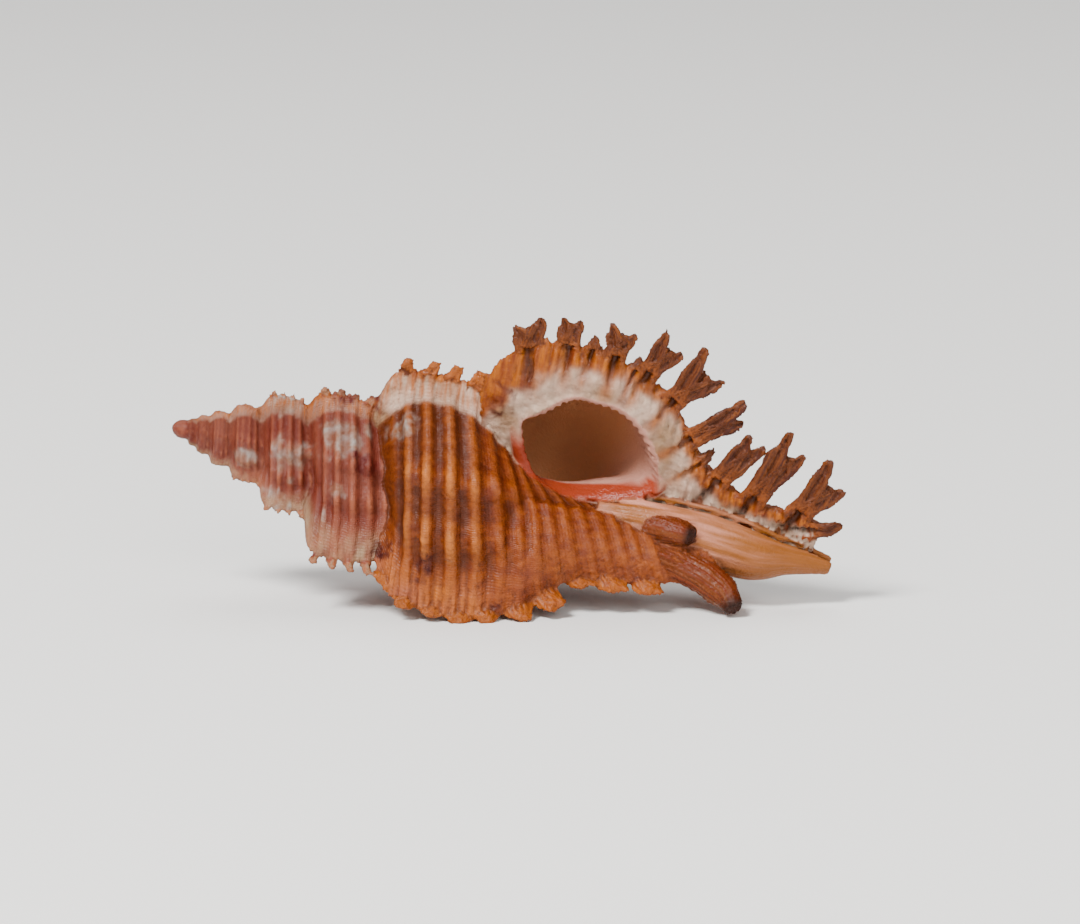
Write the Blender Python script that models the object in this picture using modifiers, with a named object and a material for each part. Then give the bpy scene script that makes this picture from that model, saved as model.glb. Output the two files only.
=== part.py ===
"""A frondose murex shell, built as it grew: one whorl section swept along a widening spiral,
thickened into a flange (a varix) three times a turn, with fronds on each flange, an open canal
in front and a hollow chamber that winds back from the mouth.

The shell is drawn in its own growth frame, with the apex at the origin, the coiling axis along
+X, up +Z and the mouth towards -Y, and is then tipped onto the fronds that it rests on.
"""

import math

import bmesh
import bpy
import numpy as np
from mathutils import Matrix, Vector

MM = 0.001

# Growth. Places along the axis and radii are in millimetres, on a shell that is 90 mm long. An
# azimuth runs from up (0) over the mouth side (90 degrees), the way a right-handed shell grows
# when its apex points left. One turn back, every length is smaller by GROWTH.
GROWTH = 1.53
TURNS = 7.4
FLANGES_A_TURN = 3
LIP_AZIMUTH = math.radians(32)
LIP_OVERRUN = 0.018
RINGS_A_TURN = 60
# The early whorls are this much blunter, for each turn further back than BLUNT_FROM.
BLUNTNESS = 0.10
BLUNT_FROM = 2.0
BLUNT_POWER = 1.2

# The whorl's outline at the lip: distance from the apex along the axis, and radius.
WHORL_OUTLINE = [(39.0, 6.5), (41.2, 9.8), (42.7, 12.2), (44.2, 14.8), (46.0, 17.0), (48.5, 18.5),
                 (51.4, 19.1), (54.7, 19.0), (58.7, 17.7), (62.7, 15.0), (65.4, 12.4),
                 (68.1, 9.9), (70.8, 7.8), (74.8, 5.4), (80.1, 3.6), (85.0, 2.4), (92.0, 1.6),
                 (101.0, 1.2)]
WHORL_END = 87.0
BEHIND_AXIS = 0.5
OUTLINE_SAMPLES = 72

# The crest of each flange, in the same two sizes. The lip's and those of the two flanges behind
# it are as they stand today. An older one is OLD_CREST, shrunk by its age.
LIP_CREST = [(39.0, 13.0), (40.4, 18.5), (42.0, 21.3), (44.3, 23.3), (46.7, 24.6), (51.8, 25.0),
             (57.4, 23.7), (62.2, 21.1), (66.3, 16.8), (69.5, 11.6), (74.4, 7.4), (80.1, 5.7),
             (86.8, 4.8), (89.6, 3.4)]
BACK_CREST = [(34.6, 13.0), (36.2, 18.0), (38.6, 20.6), (42.0, 21.6), (46.0, 21.6), (50.0, 20.4),
              (54.5, 17.8), (58.5, 14.2), (63.0, 11.8), (69.0, 10.4), (75.0, 9.6), (79.0, 7.6)]
FRONT_CREST = [(29.4, 11.5), (31.0, 16.6), (33.4, 19.2), (37.0, 19.9), (42.0, 19.9), (46.1, 18.8),
               (49.4, 17.2), (52.2, 14.6), (56.1, 11.6), (60.2, 10.2), (65.6, 9.4), (70.8, 8.6),
               (75.0, 7.2)]
OLD_CREST = [(39.8, 14.5), (41.2, 20.5), (43.0, 24.0), (47.0, 25.0), (51.8, 25.2), (57.4, 24.8),
             (61.0, 23.6), (64.0, 19.5), (67.0, 14.0)]
# Each crest comes up from the shell's surface over this much of the way along it, and goes back.
CREST_COMES, CREST_UP, CREST_GOES = -1.5, 0.5, 1.6
LIP, BACK, FRONT, NEWEST_OLD, OLDEST = 0, -1, -2, -3, -12
# How much of its height an older flange has kept, counted back from the lip, where it isn't all.
KEPT_HEIGHT = {-4: 1.05, -5: 1.24, -6: 0.94, -8: 1.08, -9: 1.08, -11: 0.95}

# A flange rises over this much growth behind its crest, more at the shell's base, and falls
# over much less in front of it.
RISE = math.radians(30)
RISE_AT_BASE = math.radians(92)
FALL = math.radians(11)
BASE_STARTS, BASE_ENDS = 60.0, 76.0
RISE_POWER, BASE_RISE_POWER, FALL_POWER = 1.9, 1.25, 1.3

# Low ribs between the flanges, at these shares of the way, and the cords that run along.
RIB_PLACES = (0.47, 0.755)
RIB_HALF_WIDTH = 0.115
RIB_HEIGHT = 1.0
RIB_STARTS, RIB_FULL, RIB_FADES, RIB_ENDS = 43.5, 48.0, 64.0, 72.0
CORDS = [43.2, 46.2, 49.8, 54.5, 59.1, 63.3, 66.8, 69.8, 72.8, 75.7, 78.8, 81.7, 84.8, 87.4, 90.0,
         95.0, 101.0]
CORD_HEIGHT = 0.42
CORD_GAIN_ON_CREST = 1.2

# The canal's centre line and radius: along the axis, up, towards the mouth side, radius.
CANAL = [(58.0, -0.3, 0.4, 3.2), (64.0, -0.2, 0.8, 4.1), (70.0, -0.3, 0.7, 4.3),
         (76.0, -0.9, 0.4, 4.3), (80.0, -1.4, 0.1, 3.8), (84.0, -1.2, -0.3, 2.5),
         (87.5, -1.2, -0.8, 1.7), (89.8, -1.3, -1.2, 1.2)]
SLIT_AZIMUTH = math.radians(40)
SLIT_HALF_WIDTH = 0.35
SLIT_PROUD = 0.8

# The mouth: the opening's outline at the lip, along the axis and radius.
MOUTH = [(45.5, 12.3), (47.9, 14.6), (50.2, 17.0), (52.1, 18.0), (54.5, 17.8), (57.6, 17.3),
         (60.5, 15.2), (62.9, 11.8), (64.5, 7.6), (63.8, 5.6), (60.2, 4.2), (56.6, 3.0),
         (52.9, 2.6), (49.3, 3.3), (46.8, 6.2), (45.7, 9.3)]
CHAMBER_TURNS = 2.4
CHAMBER_OVERRUN = 0.1
CHAMBER_RINGS = 80
# The chamber narrows behind the lip, where the wall is thick, and again in the old whorls.
THICK_LIP, THICK_LIP_TURN = 0.05, 0.08
THICK_SPIRE, THICK_SPIRE_STARTS, THICK_SPIRE_FULL = 0.18, 0.3, 1.2
MOUTH_RIM_RADIUS = 0.75
MOUTH_RIM_OUTSIDE = 0.3

# The lip's fronds: root, then the ends of its two points, each along the axis and radius, and
# the blade's width at its root. Then those of the flange in front, at the shell's underside.
LIP_FRONDS = [
    ((44.9, 22.0), (42.0, 25.4), (45.9, 27.7), 3.4),
    ((49.8, 24.0), (48.1, 28.3), (50.9, 28.5), 3.0),
    ((53.0, 24.4), (53.0, 26.5), (53.6, 26.0), 1.6),
    ((56.1, 23.6), (54.6, 29.0), (58.4, 28.0), 2.9),
    ((59.0, 22.6), (59.2, 24.8), (59.8, 24.2), 1.4),
    ((60.6, 22.0), (62.2, 29.6), (65.4, 26.6), 3.0),
    ((64.3, 18.4), (67.9, 28.6), (71.8, 23.8), 3.2),
    ((67.2, 13.4), (75.0, 21.5), (75.4, 17.9), 3.0),
    ((69.8, 10.6), (71.8, 12.7), (71.2, 12.0), 1.4),
    ((72.3, 7.6), (76.1, 16.7), (78.6, 15.2), 3.0),
    ((77.4, 5.6), (81.1, 18.8), (84.0, 15.4), 3.4),
    ((83.8, 5.0), (87.1, 15.4), (90.2, 10.7), 3.4),
    ((86.2, 3.6), (90.8, 4.9), (89.8, 3.6), 2.0),
]
FRONT_FRONDS = [
    ((32.6, 14.6), (30.6, 17.0), (32.2, 18.6), 2.4),
    ((35.4, 17.2), (33.6, 20.2), (35.4, 20.6), 2.6),
    ((38.6, 18.2), (37.6, 21.0), (39.4, 21.1), 2.8),
    ((42.2, 18.2), (41.4, 21.2), (43.0, 21.1), 2.8),
    ((45.6, 17.2), (45.4, 20.5), (46.9, 20.2), 2.6),
    ((49.2, 15.4), (50.4, 19.4), (52.0, 18.9), 2.8),
    ((52.4, 13.2), (54.8, 17.2), (56.4, 15.4), 2.6),
    ((56.0, 10.4), (58.2, 12.4), (60.0, 11.4), 1.8),
    ((60.2, 9.4), (61.8, 12.5), (64.4, 11.6), 2.4),
    ((65.0, 8.8), (67.4, 11.5), (69.0, 11.0), 2.2),
]
# On the other flanges: where the fronds stand at the lip's size, how far they reach as a
# multiple of the crest's radius, and their width.
FRONDS_ON_CORDS = [(44.6, 1.10, 3.0), (49.8, 1.12, 3.0), (54.5, 1.12, 3.0), (59.1, 1.16, 2.8),
                   (63.3, 1.22, 2.6), (66.8, 1.28, 2.4)]
# How far the two points of these lean along the axis, and how much lower the second one ends.
OLD_LEANS, OLD_DROP, OLD_RISE = (0.6, 1.8), 0.4, 0.8
BACK_LEANS, BACK_DROP = (0.5, 2.2), 1.0
BACK_CANAL_LEANS, BACK_CANAL_REACH = (1.6, 3.2), (3.2, 1.8)
BACK_CANAL_FRONDS = (60.0, 65.0, 70.0, 75.0)
BACK_CANAL_FROND_WIDTH = 2.4
FROND_THICKNESS = 1.5
SECOND_POINT_WIDTH = 0.85
TIP_ROUNDING = 0.5
TIP_WIDTH = 0.45
BLADE_RINGS = (-0.3, 0.0, 0.25, 0.5, 0.75, 0.92, 1.0)
BLADE_COLUMNS = (-1.0, -0.5, 0.0, 0.5, 1.0)
BLADE_CURL = 1.2
BLADE_CHANNEL = 0.5

# Ends of older canals that stand out beside the last one: a long hook and a short stub.
HOOK = [(66.0, 4.5), (71.5, 6.4), (75.2, 8.2), (77.3, 9.8), (78.2, 11.2)]
HOOK_AZIMUTH, HOOK_RADIUS = math.radians(146), 1.9
STUB = [(62.5, 1.6), (66.0, 3.6), (69.0, 5.4), (71.2, 6.4)]
STUB_AZIMUTH, STUB_RADIUS = math.radians(99), 1.5
STUMP_TAPER = 1.25

# The first, smooth whorl at the apex: along the axis, and radius.
APEX_DOME = [(0.0, 0.3), (0.3, 0.8), (0.8, 1.15), (1.5, 1.35), (2.4, 1.2)]

# How the shell lies: rolled about its axis, then its apex tipped up. It rests on the flange in
# front, on a rib behind that and on the hook.
ROLL = math.radians(-11)
PITCH = math.radians(10.5)

VOXEL = 0.45 * MM
TRIANGLES = 9300
SHARP = math.radians(40)


def clear_scene():
    for obj in list(bpy.data.objects):
        bpy.data.objects.remove(obj)


def smooth_curve(points, places):
    """A smooth curve through hand-chosen points, read at the given places along its first axis."""
    known = np.array(points, float)
    x, y = known[:, 0], known[:, 1:]
    slopes = np.gradient(y, x, axis=0)
    i = np.clip(np.searchsorted(x, places) - 1, 0, len(x) - 2)
    step = (x[i + 1] - x[i])[:, None]
    f = np.clip((np.asarray(places) - x[i]) / step[:, 0], 0, 1)[:, None]
    start, end = y[i], y[i + 1]
    return ((1 + 2 * f) * (1 - f) ** 2 * start + f * (1 - f) ** 2 * step * slopes[i]
            + f * f * (3 - 2 * f) * end + f * f * (f - 1) * step * slopes[i + 1])


def smooth_step(low, high, value):
    f = np.clip((value - low) / (high - low), 0, 1)
    return f * f * (3 - 2 * f)


def place(along, radius, azimuth, forward=0.0):
    """Points in metres, from millimetres. Forward is the way the shell grows, square to the
    radius."""
    along, radius, azimuth, forward = np.broadcast_arrays(along, radius, azimuth, forward)
    up = radius * np.cos(azimuth) - forward * np.sin(azimuth)
    to_mouth = radius * np.sin(azimuth) + forward * np.cos(azimuth)
    return np.stack([along, -to_mouth, up], axis=-1) * MM


def loft(rings, closed=False):
    """Vertices and faces of a closed skin over rings with the same number of points."""
    rings = np.asarray(rings, float)
    count, size = rings.shape[:2]
    faces = []
    for a in range(count if closed else count - 1):
        b = (a + 1) % count
        for i in range(size):
            j = (i + 1) % size
            faces.append((a * size + i, a * size + j, b * size + j, b * size + i))
    if not closed:
        faces.append(tuple(range(size - 1, -1, -1)))
        faces.append(tuple((count - 1) * size + i for i in range(size)))
    return rings.reshape(-1, 3), faces


def tube(path, radii, sides, closed=False):
    """A round tube along a path of points in metres, or a ring where the path is closed."""
    path = np.asarray(path, float)
    if closed:
        tangents = np.roll(path, -1, axis=0) - np.roll(path, 1, axis=0)
    else:
        tangents = np.gradient(path, axis=0)
    turns = np.linspace(0, 2 * math.pi, sides, endpoint=False)
    circle = np.stack([np.cos(turns), np.sin(turns), np.zeros(sides)], axis=1)
    rings = []
    for point, tangent, radius in zip(path, tangents, radii):
        frame = np.array(Vector(tangent).to_track_quat("Z", "Y").to_matrix())
        rings.append(point + radius * circle @ frame.T)
    return loft(rings, closed)


def mesh_object(name, shapes):
    """One mesh object from several closed skins, with every face pointing outwards."""
    mesh = bpy.data.meshes.new(name)
    vertices, faces = [], []
    for points, skin in shapes:
        faces += [tuple(i + len(vertices) for i in face) for face in skin]
        vertices += [tuple(p) for p in points]
    mesh.from_pydata(vertices, [], faces)
    work = bmesh.new()
    work.from_mesh(mesh)
    bmesh.ops.recalc_face_normals(work, faces=work.faces)
    work.to_mesh(mesh)
    work.free()
    return bpy.data.objects.new(name, mesh)


def scale_at(turn):
    return GROWTH ** turn


def width_at(turn):
    """The scale across the axis, which is a little more in the blunt early whorls."""
    return scale_at(turn) * (1 + BLUNTNESS * max(0.0, -turn - BLUNT_FROM) ** BLUNT_POWER)


def azimuth_at(turn):
    return LIP_AZIMUTH + turn * 2 * math.pi


def flange_turn(flange):
    return flange / FLANGES_A_TURN


def flange_azimuth(flange):
    return azimuth_at(flange_turn(flange))


def crest_radius(flange, along):
    """A flange's crest radius at places along the axis, both as they stand today."""
    size = scale_at(flange_turn(flange))
    outline = {LIP: LIP_CREST, BACK: BACK_CREST, FRONT: FRONT_CREST}.get(flange)
    if outline is None:
        height = width_at(flange_turn(flange)) * KEPT_HEIGHT.get(flange, 1.0)
        outline = [(u * size, r * height) for u, r in OLD_CREST]
    low, high = outline[0][0], outline[-1][0]
    starts = smooth_step(low + CREST_COMES * size, low + CREST_UP * size, along)
    ends = 1 - smooth_step(high, high + CREST_GOES * size, along)
    return smooth_curve(outline, along)[:, 0] * starts * ends


def flange_near(turn, at_lip):
    """The flange that the shell stands up towards at this turn, and how far up it has come."""
    phase = turn * FLANGES_A_TURN
    nearest = min(round(phase), LIP)
    gap = (phase - nearest) * 2 * math.pi / FLANGES_A_TURN
    if gap > 0:
        return nearest, max(0.0, 1 - gap / FALL) ** FALL_POWER
    base = smooth_step(BASE_STARTS, BASE_ENDS, at_lip)
    rise = RISE + (RISE_AT_BASE - RISE) * base
    power = RISE_POWER + (BASE_RISE_POWER - RISE_POWER) * base
    return nearest, np.clip(1 + gap / rise, 0, 1) ** power


def rib_height(turn, at_lip):
    share = (turn * FLANGES_A_TURN) % 1.0
    height = sum(max(0.0, 1 - abs(share - p) / RIB_HALF_WIDTH) for p in RIB_PLACES)
    fade = smooth_step(RIB_STARTS, RIB_FULL, at_lip) * (1 - smooth_step(RIB_FADES, RIB_ENDS, at_lip))
    return RIB_HEIGHT * height * fade


def cord_height(at_lip):
    phase = np.interp(at_lip, CORDS, range(len(CORDS)))
    fade_in = smooth_step(CORDS[0], CORDS[0] + 2, at_lip)
    return CORD_HEIGHT * np.cos(2 * math.pi * phase) * fade_in


def whorl_section(turn):
    """The shell's outline in the half-plane at this turn, closed behind the axis, as one ring."""
    size = scale_at(turn)
    last = min(WHORL_OUTLINE[-1][0], WHORL_END / size)
    at_lip = np.linspace(WHORL_OUTLINE[0][0], last, OUTLINE_SAMPLES)
    along = at_lip * size
    cords = cord_height(at_lip)
    radius = smooth_curve(WHORL_OUTLINE, at_lip)[:, 0] + cords + rib_height(turn, at_lip)
    radius *= width_at(turn)
    flange, share = flange_near(turn, at_lip)
    crest = crest_radius(flange, along) + cords * size * CORD_GAIN_ON_CREST
    radius += np.maximum(crest - radius, 0) * share
    behind = -BEHIND_AXIS * size
    along = np.concatenate([[along[0]], along, [along[-1]]])
    radius = np.concatenate([[behind], radius, [behind]])
    return place(along, radius, azimuth_at(turn))


def whorls():
    count = int((TURNS + LIP_OVERRUN) * RINGS_A_TURN)
    return loft([whorl_section(turn) for turn in np.linspace(-TURNS, LIP_OVERRUN, count)])


def canal_line(count):
    """Points of the canal's centre line and its radii there, in metres."""
    along = np.linspace(CANAL[0][0], CANAL[-1][0], count)
    up, to_mouth, radius = smooth_curve(CANAL, along).T
    return np.stack([along, -to_mouth, up], axis=1) * MM, radius * MM


def canal():
    path, radii = canal_line(14)
    return tube(path, radii, 16)


def canal_slit():
    """The narrow way into the canal: a thin plate from its heart out past its skin."""
    path, radii = canal_line(12)
    path, radii = path[2:], radii[2:]
    path[-1] += path[-1] - path[-2]
    out = np.array([0, -math.sin(SLIT_AZIMUTH), math.cos(SLIT_AZIMUTH)])
    side = np.array([0, -out[2], out[1]]) * SLIT_HALF_WIDTH * MM
    rings = []
    for point, radius in zip(path, radii):
        outer = point + out * (radius + SLIT_PROUD * MM)
        rings.append([point - side, outer - side, outer + side, point + side])
    return loft(rings)


def blade(azimuth, root, tip, width, thickness):
    """One point of a frond: a blade that curls back, with a channel down its front."""
    root = np.array(root)
    line = np.array(tip) - root
    length = np.hypot(*line)
    side = np.array([line[1], -line[0]]) / length
    line *= 1 - TIP_ROUNDING / length
    rings = []
    for share in BLADE_RINGS:
        half = width / 2 * (TIP_WIDTH if share == BLADE_RINGS[-1] else 1.05 - 0.25 * share)
        thick = thickness * (1 - 0.5 * max(share, 0))
        back = -BLADE_CURL * max(share, 0) ** 2
        front_side, back_side = [], []
        for column in BLADE_COLUMNS:
            u, r = root + line * share + side * half * column
            middle = back + BLADE_CHANNEL * (abs(column) ** 1.5 - 0.5) * half
            skin = thick * (0.5 - 0.2 * abs(column))
            front_side.append(place(u, r, azimuth, middle + skin))
            back_side.append(place(u, r, azimuth, middle - skin))
        rings.append(front_side + back_side[::-1])
    return loft(rings)


def frond(azimuth, root, first, second, width, thickness=FROND_THICKNESS):
    return [blade(azimuth, root, first, width, thickness),
            blade(azimuth, root, second, width * SECOND_POINT_WIDTH, thickness)]


def listed_fronds(flange, fronds):
    shapes = []
    for root, first, second, width in fronds:
        shapes += frond(flange_azimuth(flange), root, first, second, width)
    return shapes


def old_fronds(flange):
    """The short, worn fronds of an older flange, one on each cord that is still free."""
    size = scale_at(flange_turn(flange))
    shapes = []
    for at_lip, reach, width in FRONDS_ON_CORDS:
        along = at_lip * size
        crest = crest_radius(flange, np.array([along]))[0]
        top = crest * (1 + reach) / 2 + OLD_RISE * size
        first, second = (along + lean * size for lean in OLD_LEANS)
        shapes += frond(flange_azimuth(flange), (along, crest - OLD_RISE * size), (first, top),
                        (second, top - OLD_DROP * size), width * size, FROND_THICKNESS * size)
    return shapes


def back_fronds():
    """The fronds of the flange at the back, and the shorter ones along its part of the canal."""
    azimuth, size = flange_azimuth(BACK), scale_at(flange_turn(BACK))
    shapes = []
    for at_lip, reach, width in FRONDS_ON_CORDS:
        along = at_lip * size
        crest = crest_radius(BACK, np.array([along]))[0]
        first, second = (along + lean for lean in BACK_LEANS)
        shapes += frond(azimuth, (along, crest - 1), (first, crest * reach),
                        (second, crest * reach - BACK_DROP), width * size)
    for along in BACK_CANAL_FRONDS:
        crest = crest_radius(BACK, np.array([along]))[0]
        first, second = (along + lean for lean in BACK_CANAL_LEANS)
        shapes += frond(azimuth, (along, crest - 1), (first, crest + BACK_CANAL_REACH[0]),
                        (second, crest + BACK_CANAL_REACH[1]), BACK_CANAL_FROND_WIDTH)
    return shapes


def stump(points, azimuth, radius):
    path = [place(u, r, azimuth) for u, r in points]
    return tube(path, np.linspace(radius * STUMP_TAPER, radius, len(path)) * MM, 10)


def mouth_ring(turn, outside=0.0):
    """The chamber's outline at this turn, or a line this many millimetres outside it."""
    narrowing = (THICK_LIP * smooth_step(0, THICK_LIP_TURN, -turn)
                 + THICK_SPIRE * smooth_step(THICK_SPIRE_STARTS, THICK_SPIRE_FULL, -turn))
    outline = np.array(MOUTH) * scale_at(turn)
    centre = outline.mean(axis=0)
    arms = outline - centre
    arms *= 1 - narrowing + outside / np.hypot(arms[:, 0], arms[:, 1])[:, None]
    along, radius = (centre + arms).T
    return place(along, radius, azimuth_at(turn))


def chamber():
    turns = np.linspace(-CHAMBER_TURNS, CHAMBER_OVERRUN, CHAMBER_RINGS)
    return loft([mouth_ring(turn) for turn in turns])


def mouth_rim():
    """The rounded edge round the mouth."""
    path = mouth_ring(LIP_OVERRUN, MOUTH_RIM_OUTSIDE)
    return tube(path, [MOUTH_RIM_RADIUS * MM] * len(path), 8, closed=True)


def apex_dome():
    return tube([(u * MM, 0, 0) for u, _ in APEX_DOME], [r * MM for _, r in APEX_DOME], 8)


def solid_shapes():
    shapes = [whorls(), canal(), apex_dome(), mouth_rim()]
    shapes += listed_fronds(LIP, LIP_FRONDS) + listed_fronds(FRONT, FRONT_FRONDS) + back_fronds()
    for flange in range(NEWEST_OLD, OLDEST - 1, -1):
        shapes += old_fronds(flange)
    shapes.append(stump(HOOK, HOOK_AZIMUTH, HOOK_RADIUS))
    shapes.append(stump(STUB, STUB_AZIMUTH, STUB_RADIUS))
    return shapes


def cutter(name, shape, collection):
    obj = mesh_object(name, [shape])
    collection.objects.link(obj)
    obj.hide_render = True
    obj.display_type = "WIRE"
    return obj


def evaluated_mesh(obj):
    bpy.context.view_layer.update()
    graph = bpy.context.evaluated_depsgraph_get()
    return bpy.data.meshes.new_from_object(obj.evaluated_get(graph))


def fuse(obj):
    """Makes one skin of all the shapes that the mesh holds."""
    modifier = obj.modifiers.new("Fuse", "REMESH")
    modifier.mode = "VOXEL"
    modifier.voxel_size = VOXEL


def cut(obj, tool):
    modifier = obj.modifiers.new("Cut " + tool.name, "BOOLEAN")
    modifier.operation = "DIFFERENCE"
    modifier.solver = "EXACT"
    modifier.object = tool


def thin_out(obj):
    mesh = evaluated_mesh(obj)
    count = sum(len(polygon.vertices) - 2 for polygon in mesh.polygons)
    bpy.data.meshes.remove(mesh)
    modifier = obj.modifiers.new("Thin out", "DECIMATE")
    modifier.ratio = TRIANGLES / count
    modifier.use_collapse_triangulate = True


def lay_down(shell, others):
    """Tips the shell as it lies, with the middle of its box's bottom at the origin."""
    turn = Matrix.Rotation(PITCH, 4, "Y") @ Matrix.Rotation(ROLL, 4, "X")
    mesh = evaluated_mesh(shell)
    points = np.array([turn @ vertex.co for vertex in mesh.vertices])
    bpy.data.meshes.remove(mesh)
    low, high = points.min(axis=0), points.max(axis=0)
    centre = (low + high) / 2
    for obj in [shell] + others:
        obj.matrix_world = Matrix.Translation((-centre[0], -centre[1], -low[2])) @ turn


def shell_material():
    material = bpy.data.materials.new("orange brown shell")
    material.use_nodes = True
    shader = material.node_tree.nodes["Principled BSDF"]
    shader.inputs["Base Color"].default_value = (0.52, 0.20, 0.07, 1)
    shader.inputs["Roughness"].default_value = 0.45
    shader.inputs["Metallic"].default_value = 0.0
    return material


def build():
    clear_scene()
    parts = bpy.data.collections.new("Murex shell")
    cutter_group = bpy.data.collections.new("Cutters")
    bpy.context.scene.collection.children.link(parts)
    bpy.context.scene.collection.children.link(cutter_group)
    shell = mesh_object("shell", solid_shapes())
    parts.objects.link(shell)
    fuse(shell)
    cutters = [cutter("chamber", chamber(), cutter_group), cutter("slit", canal_slit(), cutter_group)]
    for tool in cutters:
        cut(shell, tool)
    thin_out(shell)
    lay_down(shell, cutters)
    shell.data.materials.append(shell_material())
    shell.data.shade_smooth()
    shell.data.set_sharp_from_angle(angle=SHARP)


build()
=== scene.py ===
import math

import bpy
import numpy as np
from bpy.props import FloatProperty, IntProperty, PointerProperty, StringProperty
from mathutils import Matrix, Vector


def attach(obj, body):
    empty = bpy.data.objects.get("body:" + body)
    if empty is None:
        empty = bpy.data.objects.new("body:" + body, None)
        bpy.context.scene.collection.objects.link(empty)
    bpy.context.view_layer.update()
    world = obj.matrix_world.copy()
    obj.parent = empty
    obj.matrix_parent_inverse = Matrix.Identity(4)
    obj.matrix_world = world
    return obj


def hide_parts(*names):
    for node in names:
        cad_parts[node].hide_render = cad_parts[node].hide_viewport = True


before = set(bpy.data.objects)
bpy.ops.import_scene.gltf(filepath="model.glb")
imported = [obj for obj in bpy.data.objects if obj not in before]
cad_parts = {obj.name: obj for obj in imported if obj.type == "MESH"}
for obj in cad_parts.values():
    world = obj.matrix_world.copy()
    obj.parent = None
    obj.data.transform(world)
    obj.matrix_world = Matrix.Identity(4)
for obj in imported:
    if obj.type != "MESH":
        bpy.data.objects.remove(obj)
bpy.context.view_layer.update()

bl_info = {
    "name": "Murex shell",
    "version": (1, 0, 0),
    "blender": (4, 5, 0),
    "location": "3D View > Sidebar > Murex shell",
    "description": "Grows a frondose murex shell and sets it on a pale floor",
    "category": "Add Mesh",
}

MM = 0.001

# Growth, in millimetres on a shell that is 90 mm long, in a frame with the apex at its origin and
# +X along the axis. An azimuth runs from up over the mouth side. One turn back, all is smaller.
GROWTH = 1.53
TURNS = 7.4
FLANGES_A_TURN = 3
LIP_AZIMUTH = math.radians(32)
LIP_OVERRUN = 0.018
BLUNTNESS = 0.10
BLUNT_FROM = 2.0
BLUNT_POWER = 1.2

# How the shell lies, and where the middle of its box's bottom is.
ROLL = math.radians(-11)
PITCH = math.radians(10.5)
STANDS_AT = (-45.1734, -4.6399, 23.3445)
LAY = (Matrix.Translation(Vector(STANDS_AT) * MM) @ Matrix.Rotation(PITCH, 4, "Y")
       @ Matrix.Rotation(ROLL, 4, "X"))

# The whorl's outline at the lip, along the axis and radius, and the crests of the flanges.
WHORL_STARTS, WHORL_STOPS, WHORL_END = 39.0, 101.0, 87.0
WHORL_OUTLINE = [(39.0, 6.5), (41.2, 9.8), (42.7, 12.2), (44.2, 14.8), (46.0, 17.0), (48.5, 18.5),
                 (51.4, 19.1), (54.7, 19.0), (58.7, 17.7), (62.7, 15.0), (65.4, 12.4),
                 (68.1, 9.9), (70.8, 7.8), (74.8, 5.4), (80.1, 3.6), (85.0, 2.4), (92.0, 1.6),
                 (101.0, 1.2)]
LIP_CREST = [(37.5, 0.0), (39.0, 13.0), (40.4, 18.5), (42.0, 21.3), (44.3, 23.3), (46.7, 24.6),
             (51.8, 25.0), (57.4, 23.7), (62.2, 21.1), (66.3, 16.8), (69.5, 11.6), (74.4, 7.4),
             (80.1, 5.7), (86.8, 4.8), (89.6, 3.4), (91.2, 0.0)]
BACK_CREST = [(33.5, 0.0), (34.8, 13.5), (36.2, 18.0), (38.6, 20.6), (42.0, 21.6), (46.0, 21.6),
              (50.0, 20.4), (54.5, 17.8), (58.5, 14.2), (63.0, 11.8), (69.0, 10.4), (75.0, 9.6),
              (79.0, 7.6), (80.6, 0.0)]
FRONT_CREST = [(28.4, 0.0), (29.6, 12.0), (31.0, 16.6), (33.4, 19.2), (37.0, 19.9), (42.0, 19.9),
               (46.1, 18.8), (49.4, 17.2), (52.2, 14.6), (56.1, 11.6), (60.2, 10.2), (65.6, 9.4),
               (70.8, 8.6), (75.0, 7.2), (76.4, 0.0)]
OLD_CREST = [(38.3, 0.0), (39.8, 14.5), (41.2, 20.5), (43.0, 24.0), (47.0, 25.0), (51.8, 25.2),
             (57.4, 24.8), (61.0, 23.6), (64.0, 19.5), (67.0, 14.0), (68.6, 0.0)]
TALLEST = 30
KEPT_HEIGHT = [(-12, 1.0), (-11, 0.95), (-10, 1.0), (-9, 1.08), (-8, 1.08), (-7, 1.0), (-6, 0.94),
               (-5, 1.24), (-4, 1.05), (-3, 1.0)]
RISE, RISE_AT_BASE, FALL = math.radians(30), math.radians(92), math.radians(11)
BASE_STARTS, BASE_ENDS = 60.0, 76.0
RISE_POWER, BASE_RISE_POWER, FALL_POWER = 1.9, 1.25, 1.3

# Two ribs between flanges, as shares of the way, and where a rib fades along the axis.
RIB_PROFILE = [(0.0, 0.0), (0.355, 0.0), (0.47, 1.0), (0.585, 0.0), (0.64, 0.0), (0.755, 1.0),
               (0.87, 0.0), (1.0, 0.0)]
RIB_FADE = [(39.0, 0.0), (43.5, 0.0), (48.0, 1.0), (64.0, 1.0), (72.0, 0.0), (101.0, 0.0)]
# Cords are half as high on the base, and lower on the flanges' crests.
CORDS_FADE_IN, CORDS_ON_CREST = 2.0, 0.6
BASE_CORDS_FROM, BASE_CORDS_FULL, BASE_CORDS = 58.0, 66.0, 0.5
CORDS = [43.2, 46.2, 49.8, 54.5, 59.1, 63.3, 66.8, 69.8, 72.8, 75.7, 78.8, 81.7, 84.8, 87.4, 90.0,
         95.0, 101.0]

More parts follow.
